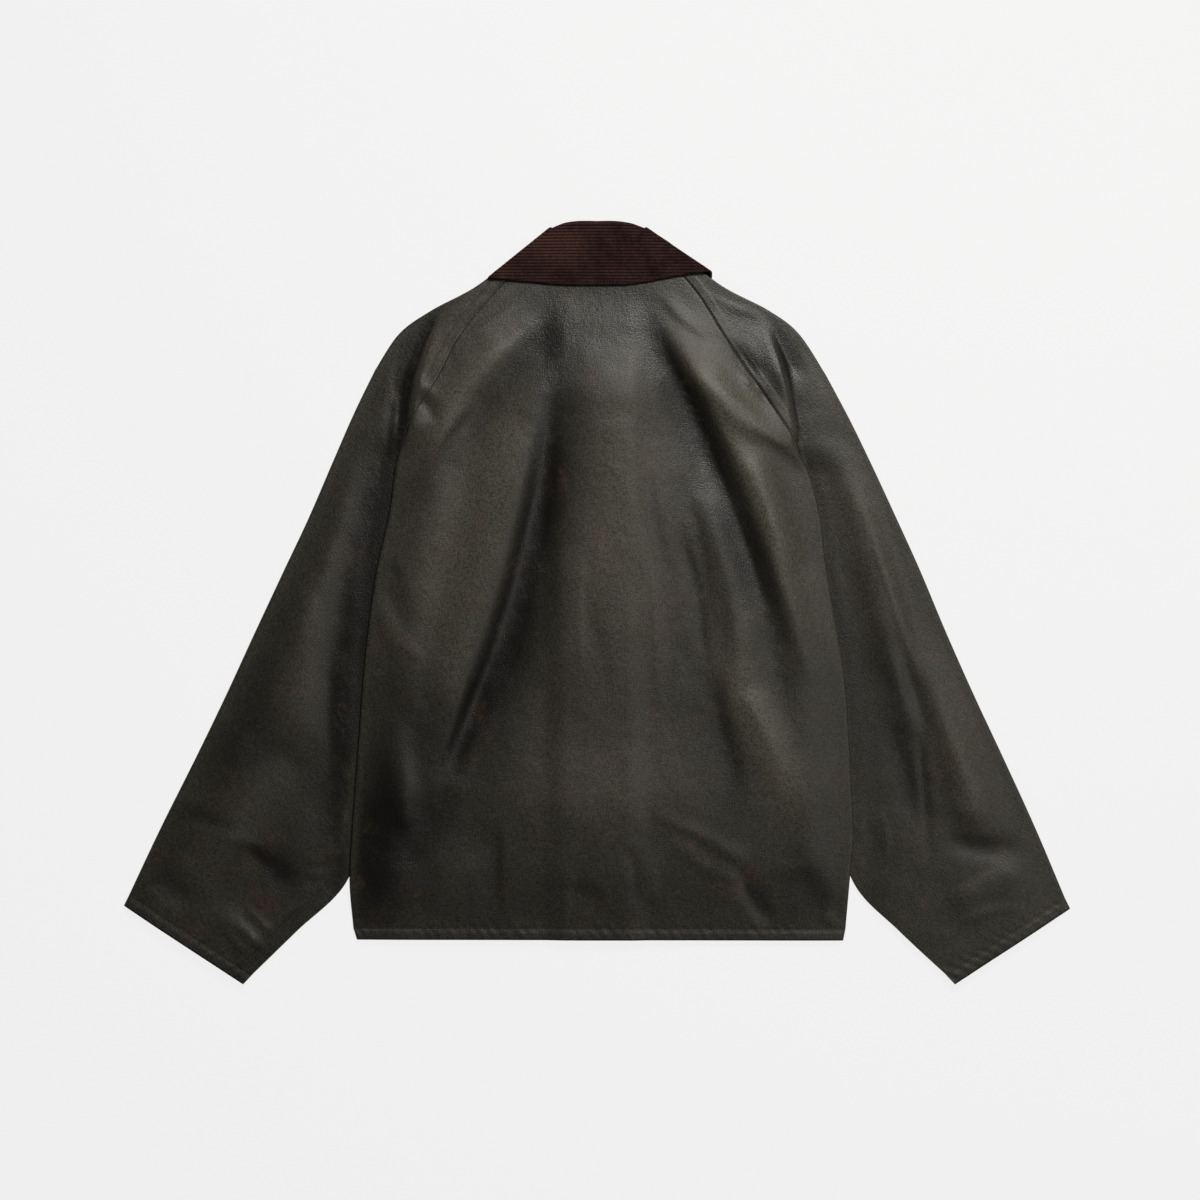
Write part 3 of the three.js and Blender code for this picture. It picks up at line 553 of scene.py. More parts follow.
def hem_form(distance, along, width, seed):
    """A turned hem: thicker to its stitching, roped in diagonal puckers, pulled above it."""
    band = HEM_RAISE * (1 - smooth(width - 0.8, width + 0.8, distance))
    row = -0.55 * np.exp(-(((distance - width) / 1.1) ** 2))
    slant = along + 0.8 * distance
    pitch = 11.0
    wave = np.sin(2 * np.pi * (slant / pitch + 0.35 * ripple(slant, 0 * slant, 24, seed)))
    strength = 0.5 + 0.5 * ripple(along, 0 * along, 17, seed + 1)
    in_band = smooth(0.5, 3, distance) * (1 - smooth(width, width + 2, distance))
    above = smooth(width, width + 2, distance) * (1 - smooth(width + 3, width + 15, distance))
    return band + row + (0.55 * in_band + 0.32 * above) * strength * wave


# Sizes and colours that a user would change


def linear(hex_colour):
    """sRGB hex to linear red, green and blue."""
    values = [int(hex_colour[k : k + 2], 16) / 255 for k in (0, 2, 4)]
    return tuple(v / 12.92 if v <= 0.04045 else ((v + 0.055) / 1.055) ** 2.4 for v in values)


def length_property(name, description, millimetres):
    shown = {"unit": "LENGTH", "subtype": "DISTANCE", "precision": 5}
    return FloatProperty(name=name, description=description, default=millimetres * MM, **shown)


def colour_property(name, description, hex_colour):
    return FloatVectorProperty(
        name=name, description=description, default=linear(hex_colour), subtype="COLOR", size=3, min=0, max=1
    )


class JacketSizes(PropertyGroup):
    cloth: length_property("Cloth", "Thickness of the waxed cotton", 0.9)
    corduroy: length_property("Corduroy", "Thickness of the two leaves of the collar", 2.0)
    spacing: length_property("Spacing", "Distance between points of the back and sleeves", 2.9)
    hidden_spacing: length_property("Hidden spacing", "Distance between points of the fronts", 6.0)
    wale: length_property("Wale", "Height of the ribs of the corduroy", 0.6)
    stitch: length_property("Stitch", "Length of one stitch with its gap", 3.1)
    thread: length_property("Thread", "Radius of the sewing thread", 0.33)


class JacketColours(PropertyGroup):
    cloth: colour_property("Cloth", "Waxed cotton where it is well waxed", "302d26")
    # Paler cloth, for painted light on ridges as well as rubbed ridges and cracked wax
    dry_and_painted_light: colour_property("Dry cloth", "Waxed cotton on ridges that have been rubbed", "47443a")
    # Darker cloth, for painted shade in hollows as well as wax that lies thick there
    wax_and_painted_shade: colour_property("Deep cloth", "Waxed cotton in hollows", "0b0905")
    brown: colour_property("Brown", "Faint brown stains of old wax", "4a3228")
    olive: colour_property("Olive", "Faint olive stains of old wax", "373820")
    corduroy: colour_property("Corduroy", "Pile on the ribs of the collar", "200f10")
    # The ground between the ribs: its own thin pile, with painted shade in the grooves
    corduroy_ground_and_shade: colour_property("Deep corduroy", "Between the ribs of the collar", "0b0506")
    corduroy_worn: colour_property("Worn corduroy", "Pile that has been rubbed", "4a302a")
    corduroy_sheen: colour_property("Sheen of corduroy", "Light that the tips of the pile catch", "8a4a38")
    thread: colour_property("Thread", "Hem thread", "5d5a3c")
    dark_thread: colour_property("Dark thread", "Seam thread", "26251d")
    brass: colour_property("Brass", "Aged brass of the studs", "8c7648")
    floor: colour_property("Floor", "Pale floor", "f4f4f4")


# Materials

NOISE, MAPPING, ATTRIBUTE = "ShaderNodeTexNoise", "ShaderNodeMapping", "ShaderNodeAttribute"
RANGE, MATH, MIX = "ShaderNodeMapRange", "ShaderNodeMath", "ShaderNodeMix"


def socket(sockets, name):
    """A node's input or output by its name, or by its identifier where names repeat."""
    return next(s for s in sockets if name in (s.identifier, s.name))


def add(tree, kind, inputs, output=None, **settings):
    """Adds a node with its settings and links and returns an output.

    Each input is a value, or the output that feeds it."""
    node = tree.nodes.new(kind)
    for name, value in settings.items():
        setattr(node, name, value)
    for name, value in inputs.items():
        if isinstance(value, bpy.types.NodeSocket):
            tree.links.new(value, socket(node.inputs, name))
        else:
            socket(node.inputs, name).default_value = value
    if output:
        return socket(node.outputs, output)
    return node.outputs[0] if node.outputs else None


def new_material(name):
    """An empty material, with its tree and the place on the object that its patterns follow."""
    material = bpy.data.materials.new(name)
    material.use_nodes = True
    tree = material.node_tree
    tree.nodes.clear()
    return material, tree, add(tree, "ShaderNodeTexCoord", {}, "Object")


def patches(size, detail=3.0, roughness=0.6, distortion=0.0):
    """Values of a soft noise whose patches are so many millimetres across."""
    return {"Scale": 1 / (size * MM), "Detail": detail, "Roughness": roughness, "Distortion": distortion}


def limits(low, high, first=0.0, last=1.0):
    """Values that map the span from low to high onto the span from first to last."""
    return {"From Min": low, "From Max": high, "To Min": first, "To Max": last}


def colours_of(share, first, second):
    """Values that mix two colours."""
    return {"Factor_Float": share, "A_Color": first, "B_Color": second}


def opaque(colour, shade=1.0):
    return (*(c * shade for c in colour), 1.0)


MIXED = {"output": "Result_Color", "data_type": "RGBA"}


def waxed_cotton(name, turn):
    """Dense plain-woven cotton, proofed with wax: dark, with a soft greasy sheen, painted shade in its
    hollows and painted light on its ridges, which are also dry and pale.

    The turn sets the run of the warp, down each piece."""
    colours = bpy.context.scene.jacket_colours
    material, tree, place = new_material(name)
    warp = add(tree, MAPPING, {"Vector": place, "Rotation": (0, 0, turn)})
    relief_and_painted_shade = add(tree, ATTRIBUTE, {}, "Fac", attribute_name="relief_and_painted_shade")

    # Slubs in warp and weft show as short streaks; threads are 0.4 mm, drawn 1.3 mm across so that they show
    down = add(tree, MAPPING, {"Vector": warp, "Scale": (1, 0.3, 1)})
    across = add(tree, MAPPING, {"Vector": warp, "Scale": (0.3, 1, 1)})
    warp_slubs = add(tree, NOISE, {"Vector": down, **patches(1.3, 2, 0.7)})
    weft_slubs = add(tree, NOISE, {"Vector": across, **patches(1.3, 2, 0.7)})
    weave = add(tree, MATH, {"Value": warp_slubs, "Value_001": weft_slubs}, operation="ADD")
    nap = add(tree, NOISE, {"Vector": warp, **patches(1.5, 2, 0.8)})
    grain = add(tree, MATH, {"Value": weave, "Value_001": nap}, operation="ADD")

    # Handling leaves thin pale marks where the wax has cracked, some 30 mm long, in places
    handled = add(tree, NOISE, {"Vector": warp, **patches(60)})
    cracks = add(tree, NOISE, {"Vector": warp, **patches(30, 5, 0.75, 0.8)})
    marks = add(tree, MATH, {"Value": cracks, "Value_001": 0.5, "Value_002": 0.012}, operation="COMPARE")
    where = add(tree, RANGE, {"Value": handled, **limits(0.5, 0.64, 0.0, 0.3)})
    marks = add(tree, MATH, {"Value": marks, "Value_001": where}, operation="MULTIPLY")

    # Painted shade and light: hollows are painted darker as shade, where they also keep more wax, and ridges
    # paler as light, where they are also rubbed
    high = add(tree, RANGE, {"Value": relief_and_painted_shade, **limits(-10.0, 1.0)})
    cloth = add(tree, MIX, colours_of(high, opaque(colours.wax_and_painted_shade), opaque(colours.cloth)), **MIXED)
    rubbed_and_painted_light = add(tree, RANGE, {"Value": relief_and_painted_shade, **limits(1.0, 12.0)})
    cloth = add(tree, MIX, colours_of(rubbed_and_painted_light, cloth, opaque(colours.dry_and_painted_light)), **MIXED)

    # Faint stains of old wax, brown and olive
    stains = add(tree, NOISE, {"Vector": warp, **patches(45, 7, 0.72, 0.4)})
    brown = add(tree, RANGE, {"Value": stains, **limits(0.58, 0.70, 0.0, 0.42)})
    cloth = add(tree, MIX, colours_of(brown, cloth, opaque(colours.brown)), **MIXED)
    streaks = add(tree, NOISE, {"Vector": down, **patches(38, 7, 0.72, 0.4)})
    olive = add(tree, RANGE, {"Value": streaks, **limits(0.42, 0.28, 0.0, 0.5)})
    cloth = add(tree, MIX, colours_of(olive, cloth, opaque(colours.olive)), **MIXED)
    cloth = add(tree, MIX, colours_of(marks, cloth, opaque(colours.dry_and_painted_light)), **MIXED)
    tone = add(tree, RANGE, {"Value": grain, **limits(1.2, 1.8, 0.45, 1.6)})
    cloth = add(tree, "ShaderNodeVectorMath", {"Vector": cloth, "Scale": tone}, operation="SCALE")

    # The wax film is glossier where it lies thick, and the weave breaks it up
    thin = add(tree, RANGE, {"Value": handled, **limits(0.35, 0.65)})
    broken = add(tree, MATH, {"Value": grain, "Value_001": thin}, operation="ADD")
    rough = add(tree, RANGE, {"Value": broken, **limits(1.2, 2.9, 0.43, 0.57)})
    thick = add(tree, RANGE, {"Value": relief_and_painted_shade, **limits(-10.0, 2.0, -0.1, 0.0)})
    rough = add(tree, MATH, {"Value": rough, "Value_001": thick}, operation="ADD")

    # Short creases of handling, some 20 mm long, between larger flat facets
    facets = add(tree, NOISE, {"Vector": down, **patches(14, 4, 0.55, 0.6)})
    facets = add(tree, MATH, {"Value": facets, "Value_001": 0.5}, operation="SUBTRACT")
    facets = add(tree, MATH, {"Value": facets}, operation="ABSOLUTE")
    creases = add(tree, RANGE, {"Value": facets, **limits(0.0, 0.09, 0.45, 0.0)})
    where = add(tree, RANGE, {"Value": handled, **limits(0.40, 0.62)})
    creases = add(tree, MATH, {"Value": creases, "Value_001": where}, operation="MULTIPLY")
    height = add(tree, MATH, {"Value": grain, "Value_001": creases}, operation="ADD")
    bump = add(tree, "ShaderNodeBump", {"Height": height, "Distance": 0.22 * MM})

    shader = {"Base Color": cloth, "Roughness": rough, "IOR": 1.46, "Specular IOR Level": 0.5, "Normal": bump}
    surface = add(tree, "ShaderNodeBsdfPrincipled", shader)
    add(tree, "ShaderNodeOutputMaterial", {"Surface": surface})
    return material


def corduroy(name):
    """Cotton corduroy of eight wales to the inch: matt pile ribs, with the ground between them dark, partly
    its own thin pile and partly painted shade.
    """
    colours = bpy.context.scene.jacket_colours
    material, tree, place = new_material(name)
    wale = add(tree, ATTRIBUTE, {}, "Fac", attribute_name="wale")
    worn = add(tree, ATTRIBUTE, {}, "Fac", attribute_name="worn")

    # Tufts of pile, drawn 1.4 mm across, and uneven brushing in patches of 5 and 16 mm
    tufts = add(tree, NOISE, {"Vector": place, **patches(1.4, 3, 0.75)})
    small = add(tree, NOISE, {"Vector": place, **patches(5, 4, 0.7)})
    large = add(tree, NOISE, {"Vector": place, **patches(16)})
    brushing = add(tree, MATH, {"Value": small, "Value_001": large}, operation="ADD")
    brushing = add(tree, RANGE, {"Value": brushing, **limits(0.7, 1.3, -0.25, 0.6)})
    worn = add(tree, MATH, {"Value": worn, "Value_001": brushing}, operation="ADD")
    worn = add(tree, RANGE, {"Value": worn, **limits(0.1, 1.1)})
    pile = colours_of(worn, opaque(colours.corduroy), opaque(colours.corduroy_worn))
    pile = add(tree, MIX, pile, **MIXED)
    # The grooves between the ribs are painted dark: partly the thinner ground, partly painted shade
    lifted = add(tree, MATH, {"Value": wale, "Value_001": tufts}, operation="MULTIPLY")
    lifted = add(tree, RANGE, {"Value": lifted, **limits(0.12, 0.55)})
    pile = add(tree, MIX, colours_of(lifted, opaque(colours.corduroy_ground_and_shade), pile), **MIXED)
    bump = add(tree, "ShaderNodeBump", {"Height": tufts, "Distance": 0.5 * MM})

    shader = {"Base Color": pile, "Roughness": 0.9, "IOR": 1.45, "Specular IOR Level": 0.15, "Normal": bump,
              "Sheen Weight": 0.12, "Sheen Roughness": 0.5, "Sheen Tint": opaque(colours.corduroy_sheen)}
    surface = add(tree, "ShaderNodeBsdfPrincipled", shader)
    add(tree, "ShaderNodeOutputMaterial", {"Surface": surface})
    return material


def sewing_thread(name, colour):
    """Spun polyester thread, waxed with the cloth: dull, with a twist every millimetre."""
    material, tree, place = new_material(name)
    twist = add(tree, NOISE, {"Vector": place, **patches(1.0, 2)})
    share = add(tree, RANGE, {"Value": twist, **limits(0.3, 0.7)})
    thread = add(tree, MIX, colours_of(share, opaque(colour, 0.45), opaque(colour)), **MIXED)
    bump = add(tree, "ShaderNodeBump", {"Height": twist, "Distance": 0.1 * MM})
    shader = {"Base Color": thread, "Roughness": 0.6, "IOR": 1.5, "Normal": bump}
    surface = add(tree, "ShaderNodeBsdfPrincipled", shader)
    add(tree, "ShaderNodeOutputMaterial", {"Surface": surface})
    return material


def aged_brass(name):
    """Die-struck brass with a worn antique finish, bright and brown in small patches."""
    colours = bpy.context.scene.jacket_colours
    material, tree, place = new_material(name)
    patina = add(tree, NOISE, {"Vector": place, **patches(3, 4)})
    share = add(tree, RANGE, {"Value": patina, **limits(0.35, 0.6)})
    brass = add(tree, MIX, colours_of(share, opaque(colours.brass, 0.4), opaque(colours.brass)), **MIXED)
    rough = add(tree, RANGE, {"Value": patina, **limits(0.35, 0.6, 0.55, 0.28)})
    bump = add(tree, "ShaderNodeBump", {"Height": patina, "Distance": 0.05 * MM})
    shader = {"Base Color": brass, "Metallic": 1.0, "Roughness": rough, "Normal": bump}
    surface = add(tree, "ShaderNodeBsdfPrincipled", shader)
    add(tree, "ShaderNodeOutputMaterial", {"Surface": surface})
    return material


def light_table(name):
    """White acrylic lit from below, as under a cut-out: even white, with hardly a shadow."""
    colours = bpy.context.scene.jacket_colours
    material, tree, place = new_material(name)
    frosting = add(tree, NOISE, {"Vector": place, **patches(2.0, 2)})
    share = add(tree, RANGE, {"Value": frosting, **limits(0.3, 0.7)})
    shade = colours_of(share, opaque(colours.floor, 0.05), opaque(colours.floor, 0.06))
    shade = add(tree, MIX, shade, **MIXED)
    shader = {"Base Color": shade, "Roughness": 0.8, "Specular IOR Level": 0.1,
              "Emission Color": opaque(colours.floor), "Emission Strength": 0.93}
    surface = add(tree, "ShaderNodeBsdfPrincipled", shader)
    add(tree, "ShaderNodeOutputMaterial", {"Surface": surface})
    return material


# Meshes


def mesh_object(name, points, faces, material, values=None, smooth_faces=True):
    """A mesh from points in millimetres, with float attributes for its material."""
    mesh = bpy.data.meshes.new(name)
    mesh.from_pydata((np.asarray(points) * MM).tolist(), [], faces)
    mesh.polygons.foreach_set("use_smooth", np.full(len(mesh.polygons), smooth_faces))
    for key, value in (values or {}).items():
        layer = mesh.attributes.new(key, "FLOAT", "POINT")
        layer.data.foreach_set("value", np.asarray(value, np.float32).ravel())
    mesh.materials.append(material)
    made = bpy.data.objects.new(name, mesh)
    bpy.context.scene.collection.objects.link(made)
    return made


def grid_faces(rows, columns, flipped=False):
    index = np.arange(rows * columns).reshape(rows, columns)
    corners = [index[:-1, :-1], index[:-1, 1:], index[1:, 1:], index[1:, :-1]]
    faces = np.stack(corners[::-1] if flipped else corners, -1)
    return faces.reshape(-1, 4).tolist()


def cloth_object(name, sheet, thickness, material, values=None, flipped=False):
    """A sheet of outer points, rows by columns, made a thin closed cloth that thickens inwards."""
    rows, columns = sheet.shape[:2]
    made = mesh_object(name, sheet.reshape(-1, 3), grid_faces(rows, columns, flipped), material, values)
    solid = made.modifiers.new("thickness", "SOLIDIFY")
    solid.thickness = thickness
    solid.offset = -1
    solid.use_rim = True
    solid.use_even_offset = False
    return made


def section_steps(table, side, spacing):
    """How many steps each pair of rows of a table needs for points that far apart."""
    points = np.array(edge_points(table, side), float)
    lengths = np.hypot(*np.diff(points, axis=0).T)
    return [max(1, math.ceil(length / spacing)) for length in lengths]


def panel_ends(tables, spacing):
    """Matching points down the left and right ends of a panel's sections."""
    ends = []
    for side in SIDES:
        line = [spline(edge_points(t, side), section_steps(t, "left", spacing)) for t in tables]
        joined = np.vstack([line[0], *(part[1:] for part in line[1:])])
        joined[:, 0] -= SEAM_GAP * OUTWARD[side]
        ends.append(joined)
    return ends


def section_grid(starts, ends, shares, dip):
    """Plan of a panel: each section runs from its start to its end and dips in its middle."""
    u = np.asarray(shares)[None, :, None]
    plan = starts[:, None, :] * (1 - u) + ends[:, None, :] * u
    plan[:, :, 1] += dip[:, None] * (4 * u * (1 - u))[:, :, 0]
    return plan


def side_roll(x, y, radius=3.5):
    """0 inside the body, rising to 1 at its side, where the cloth turns down to the side seam."""
    side_distance = by_side(x, y, lambda s, x, y: (np.interp(
        y, LINES[s]["body_side"][:, 1], LINES[s]["body_side"][:, 0]) - x) * OUTWARD[s])
    low = by_side(x, y, lambda s, x, y: 1 - smooth(LINES[s]["armpit"] - 14, LINES[s]["armpit"], y))
    share = np.clip(1 - (side_distance - SEAM_GAP) / radius, 0, 1)
    return low * (1 - np.sqrt(np.clip(1 - share**2, 0, 1)))


def declare(piece, node):
    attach(piece, "root")
    if node:
        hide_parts(node)


def finer_near_ends(count, end=6.0, length=500.0):
    """Even shares from 0 to 1, with a few more close to both ends for the rounded sides."""
    close = np.array([0, 0.4, 1.0, 1.9, 3.0, 4.4]) / length
    even = np.linspace(end / length, 1 - end / length, count)
    return np.concatenate([close, even, 1 - close[::-1]])


def hem_line():
    left, right = edge_points(SIDE_SECTIONS, "left")[0], edge_points(SIDE_SECTIONS, "right")[0]
    return np.array([left, right], float)


def back_surface(x, y):
    """Top of the back, with its seams and hem, and its painted shading."""
    height, relief_and_painted_shade = upper_height(x, y, False, SEEDS["back"])
    for side in SIDES:
        height += seam_form(x, y, LINES[side]["raglan_back"], -OUTWARD[side])
    distance, along, _ = nearest(hem_line(), x, y)
    height += hem_form(distance, along * HEM_LENGTH, HEM, SEEDS["hem"])
    return height, relief_and_painted_shade


def sleeve_surface(side):
    """Top of a sleeve, and its painted shading, as a function of place."""
    cuff = np.array([LINES[side]["under_arm"][0], LINES[side]["over_arm"][0]])
    seam = underarm_seam()

    def surface(x, y):
        height, relief_and_painted_shade = upper_height(x, y, True, SEEDS[f"{side} sleeve"])
        height = height + seam_form(x, y, LINES[side]["raglan_back"], -OUTWARD[side])
        distance, along, _ = nearest(cuff, x, y)
        height = height + hem_form(distance, along * CUFF_LENGTH, CUFF_HEM, SEEDS[f"{side} cuff"])
        if side == "left":
            beside, _, _ = nearest(seam, x, y)
            height = height - 0.6 * np.exp(-((beside / 1.5) ** 2))
        return height, relief_and_painted_shade

    return surface


def underarm_seam():
    """The felled underarm seam of the left sleeve, as far as it shows: 9.2 mm from its edge in X and in Y."""
    low = LINES["left"]["under_arm"][:17]
    return low + np.array([-FELLED_SEAM, FELLED_SEAM])


class JACKET_OT_back(Operator):
    """Back panel of waxed cotton, with its folds, raglan seams and turned hem"""

    bl_idname = "jacket.back"
    bl_label = "Back"

    def execute(self, context):
        sizes = context.scene.jacket_sizes
        starts, ends = panel_ends([SIDE_SECTIONS, RAGLAN_BACK], sizes.spacing / MM)
        share = np.linspace(0, 1, len(starts))
        dip = -DIP_BACK * smooth(0, 1, (share - 0.9) / 0.1)
        columns = round(BACK_WIDTH / (sizes.spacing / MM))
        plan = section_grid(starts, ends, finer_near_ends(columns), dip)
        x, y = plan[..., 0], plan[..., 1]
        height, relief_and_painted_shade = back_surface(x, y)
        seam_level = front_rise(x, y) + CLOTH + SEAM_GAP / 2
        height = mix(height, seam_level, side_roll(x, y))
        cloth = bpy.data.materials.get("waxed_cotton_body") or waxed_cotton("waxed_cotton_body", 0.0)
        sheet = np.dstack([x, y, height])
        piece = cloth_object("back_cloth", sheet, sizes.cloth, cloth, {"relief_and_painted_shade": relief_and_painted_shade})
        declare(piece, "back")
        return {"FINISHED"}


class JACKET_OT_fronts(Operator):
    """Left and right front, lapped and shut, on the underside of the laid jacket"""

    bl_idname = "jacket.fronts"
    bl_label = "Fronts"

    def execute(self, context):
        sizes = context.scene.jacket_sizes
        cloth = bpy.data.materials.get("waxed_cotton_body") or waxed_cotton("waxed_cotton_body", 0.0)
        sides = dict(zip(SIDES, panel_ends([SIDE_SECTIONS, RAGLAN_FRONT], sizes.hidden_spacing / MM)))
        for side in SIDES:
            outer = sides[side]
            share = np.linspace(0, 1, len(outer))
            free_y = mix(outer[0, 1], LAP_TOP + 2, share)
            free = np.column_stack([np.full(len(outer), -LAP * OUTWARD[side]), free_y])
            dip = -DIP_FRONT * smooth(0.86, 1, share)
            shares = finer_near_ends(round(FRONT_WIDTH / (sizes.hidden_spacing / MM)), 7.0, 270.0)
            plan = section_grid(free, outer, shares, dip)
            x, y = plan[..., 0], plan[..., 1]
            under = front_rise(x, y)
            if side == "right":
                under = under + lap_rise(x, np.minimum(y, LAP_TOP))
            height = mix(under, under + CLOTH - SEAM_GAP / 2, side_roll(x, y))
            sheet = np.dstack([x, y, height])
            relief_and_painted_shade = np.zeros(x.shape)
            name = f"front_{side}_cloth"
            piece = cloth_object(name, sheet, sizes.cloth, cloth, {"relief_and_painted_shade": relief_and_painted_shade}, flipped=side == "right")
            declare(piece, f"front_{side}")
        return {"FINISHED"}


class JACKET_OT_sleeves(Operator):
    """Raglan sleeves, each one sheet folded along the top of the arm, with a turned cuff hem"""

    bl_idname = "jacket.sleeves"
    bl_label = "Sleeves"

    def execute(self, context):
        sizes = context.scene.jacket_sizes
        spacing = sizes.spacing / MM
        for side in SIDES:
            # The warp runs down the arm
            turn = math.radians(ARM_SLANT) * OUTWARD[side]
            cloth = waxed_cotton(f"waxed_cotton_{side}_sleeve", turn)
            arm_steps = section_steps(ARM_TOP, side, spacing)
            neck_steps = section_steps(SHOULDER, side, spacing)
            fold = self.joined(spline(edge_points(ARM_TOP, side), arm_steps),
                               spline(edge_points(SHOULDER, side), neck_steps))
            arm = under_arm_line(side, arm_steps, LINES[side]["body_side"])
            upper = self.joined(arm, spline(edge_points(RAGLAN_BACK, side), neck_steps))
            under = self.joined(arm, spline(edge_points(RAGLAN_FRONT, side), neck_steps))
            out = fold - upper
            out /= np.hypot(*out.T)[:, None]
            centre = fold - out * FOLD_RADIUS
            floor = neck_rise(centre[:, 0], centre[:, 1])

            columns = round(SLEEVE_WIDTH / spacing)
            across = np.concatenate([[0, 0.004, 0.01, 0.018], np.linspace(0.03, 1, columns)])
            plan = section_grid(upper, centre, across, np.zeros(len(upper)))
            x, y = plan[..., 0], plan[..., 1]
            height, relief_and_painted_shade = sleeve_surface(side)(x, y)
            height[:, -1] = floor + LAYER + CLOTH
            top = np.dstack([x, y, height])
            angles = np.radians([60, 30, 0, -30, -60])
            turning = np.dstack([
                centre[:, None, 0] + out[:, None, 0] * FOLD_RADIUS * np.cos(angles),
                centre[:, None, 1] + out[:, None, 1] * FOLD_RADIUS * np.cos(angles),
                floor[:, None] + FOLD_RADIUS * (1 + np.sin(angles)),
            ])
            below = section_grid(centre, under, np.linspace(0, 1, columns // 3), np.zeros(len(upper)))
            lying = np.dstack([below[..., 0], below[..., 1], neck_rise(below[..., 0], below[..., 1])])
            lying[:, 0, 2] = floor
            sheet = np.hstack([top, turning, lying])
            rest = np.zeros((len(upper), len(angles) + columns // 3))
            values = {"relief_and_painted_shade": np.hstack([relief_and_painted_shade, rest])}
            piece = cloth_object(f"sleeve_{side}_cloth", sheet, sizes.cloth, cloth, values,
                                 flipped=side == "left")
            declare(piece, f"sleeve_{side}")
        return {"FINISHED"}

    @staticmethod
    def joined(low, high):
        return np.vstack([low, high[1:]])


def collar_stations(steps_back, steps_turn, steps_front):
    """Roll point, edge point, turn and side of each station, from the left front edge round the back."""
    stations = []
    for side in SIDES:
        half = []
        for table, steps in ((COLLAR_BACK, steps_back), (COLLAR_FRONT, steps_front)):
            rows = np.array(list(table.values()), float)
            rows[:, [0, 2]] *= COLLAR_SIDES[side]
            roll, edge = spline(rows[:, :2], steps), spline(rows[:, 2:], steps)
            turn = 0.0 if table is COLLAR_BACK else math.pi
            half.append([(a, b, turn, side) for a, b in zip(roll, edge)])
        last_roll, last_edge = half[0][-1][:2]
        turning = [(last_roll, last_edge, math.pi * k / steps_turn, side) for k in range(1, steps_turn)]
        whole = half[0] + turning + half[1]
        stations += whole[::-1] if side == "left" else whole[1:]
    return stations


def collar_section(edge, up, length, turn, wale_height):
    """Outer face of the collar across its width: place along it, height over its middle and wale."""
    on_back = (1 + math.cos(turn)) / 2
    full = ROLL_FULLNESS * on_back * (1 - float(smooth(40, 108, abs(edge[0]))))
    fall_out = COLLAR_MIDDLE - LEAF
    share = np.arange(FALL_ROWS) / FALL_ROWS
    # Wales run beside the lower edge on the back, and beside the front leaf's edge on the front
    from_edge = edge[1] + up[1] * length * share - COLLAR_LOWER_EDGE
    ribs_along = mix(share, from_edge / (COLLAR_BACK["centre back"][1] - COLLAR_LOWER_EDGE), on_back) * WALES
    wale = np.abs(np.sin(np.pi * ribs_along)) ** 0.8
    sewn = smooth(0.045, 0.085, share)
    fullness = full * smooth(0, 1, share)
    edge_drop = 1.8 * (1 - np.sqrt(1 - np.clip(1 - share * length / 1.8, 0, 1) ** 2))
    ribs = wale_height * mix(0.35, 1, sewn) * wale * on_back
    stitch_dent = 0.35 * np.exp(-(((share - STITCH_ROW) / 0.012) ** 2)) * on_back
    out = fall_out + LEAF + fullness + ribs - edge_drop - stitch_dent
    radius = (fall_out + full - STAND_OUT) / 2
    angle = np.pi * (0.5 - np.arange(ROLL_ROWS) / (ROLL_ROWS - 1))
    roll_ribs = ribs_along[-1] + (np.arange(ROLL_ROWS) + 0.5) * 0.25
    roll_wale = np.abs(np.sin(np.pi * roll_ribs))
    reach = radius + LEAF + wale_height * roll_wale * on_back * 0.8
    roll_along = length + reach * np.cos(angle)
    roll_out = STAND_OUT + radius + reach * np.sin(angle)
    down = np.arange(1, STAND_ROWS + 1) / STAND_ROWS
    stand_out = np.full(STAND_ROWS, STAND_OUT - LEAF)
    return (
        np.concatenate([length * share, roll_along, length - STAND_WIDTH * down]),
        np.concatenate([out, roll_out, stand_out]),
        np.concatenate([wale, roll_wale, np.zeros(STAND_ROWS)]),
    )


def collar_sheet(wale_height):
    """Points, wales and turns of the collar's outer face, station by station."""
    rows, wales, turns = [], [], []
    for roll, edge, turn, side in collar_stations(18, 10, 12):
        lift = COLLAR_LIFT[side] * float(smooth(20, 105, abs(edge[0]))) * (1 + math.cos(turn)) / 2
        edge = edge + np.array([0, lift])
        up = roll - edge
        length = float(np.hypot(*up))
        up /= length
        out = np.array([up[1], -up[0]]) * OUTWARD[side]
        along, rise, wale = collar_section(edge, up, length, turn, wale_height)
        pressed = SIDE_PRESS * np.minimum(rise, COLLAR_MIDDLE + ROLL_FULLNESS) * math.sin(turn)
        plan = edge + up * along[:, None] + out * pressed[:, None]
        wave = 0.5 * ripple(plan[:, 0], plan[:, 1], 24, SEEDS["collar"]) * (1 + math.cos(turn)) / 2
        rows.append(np.column_stack([plan, COLLAR_MIDDLE + (rise + wave) * math.cos(turn)]))
        wales.append(wale)
        turns.append(turn)
    return np.array(rows), np.array(wales), turns


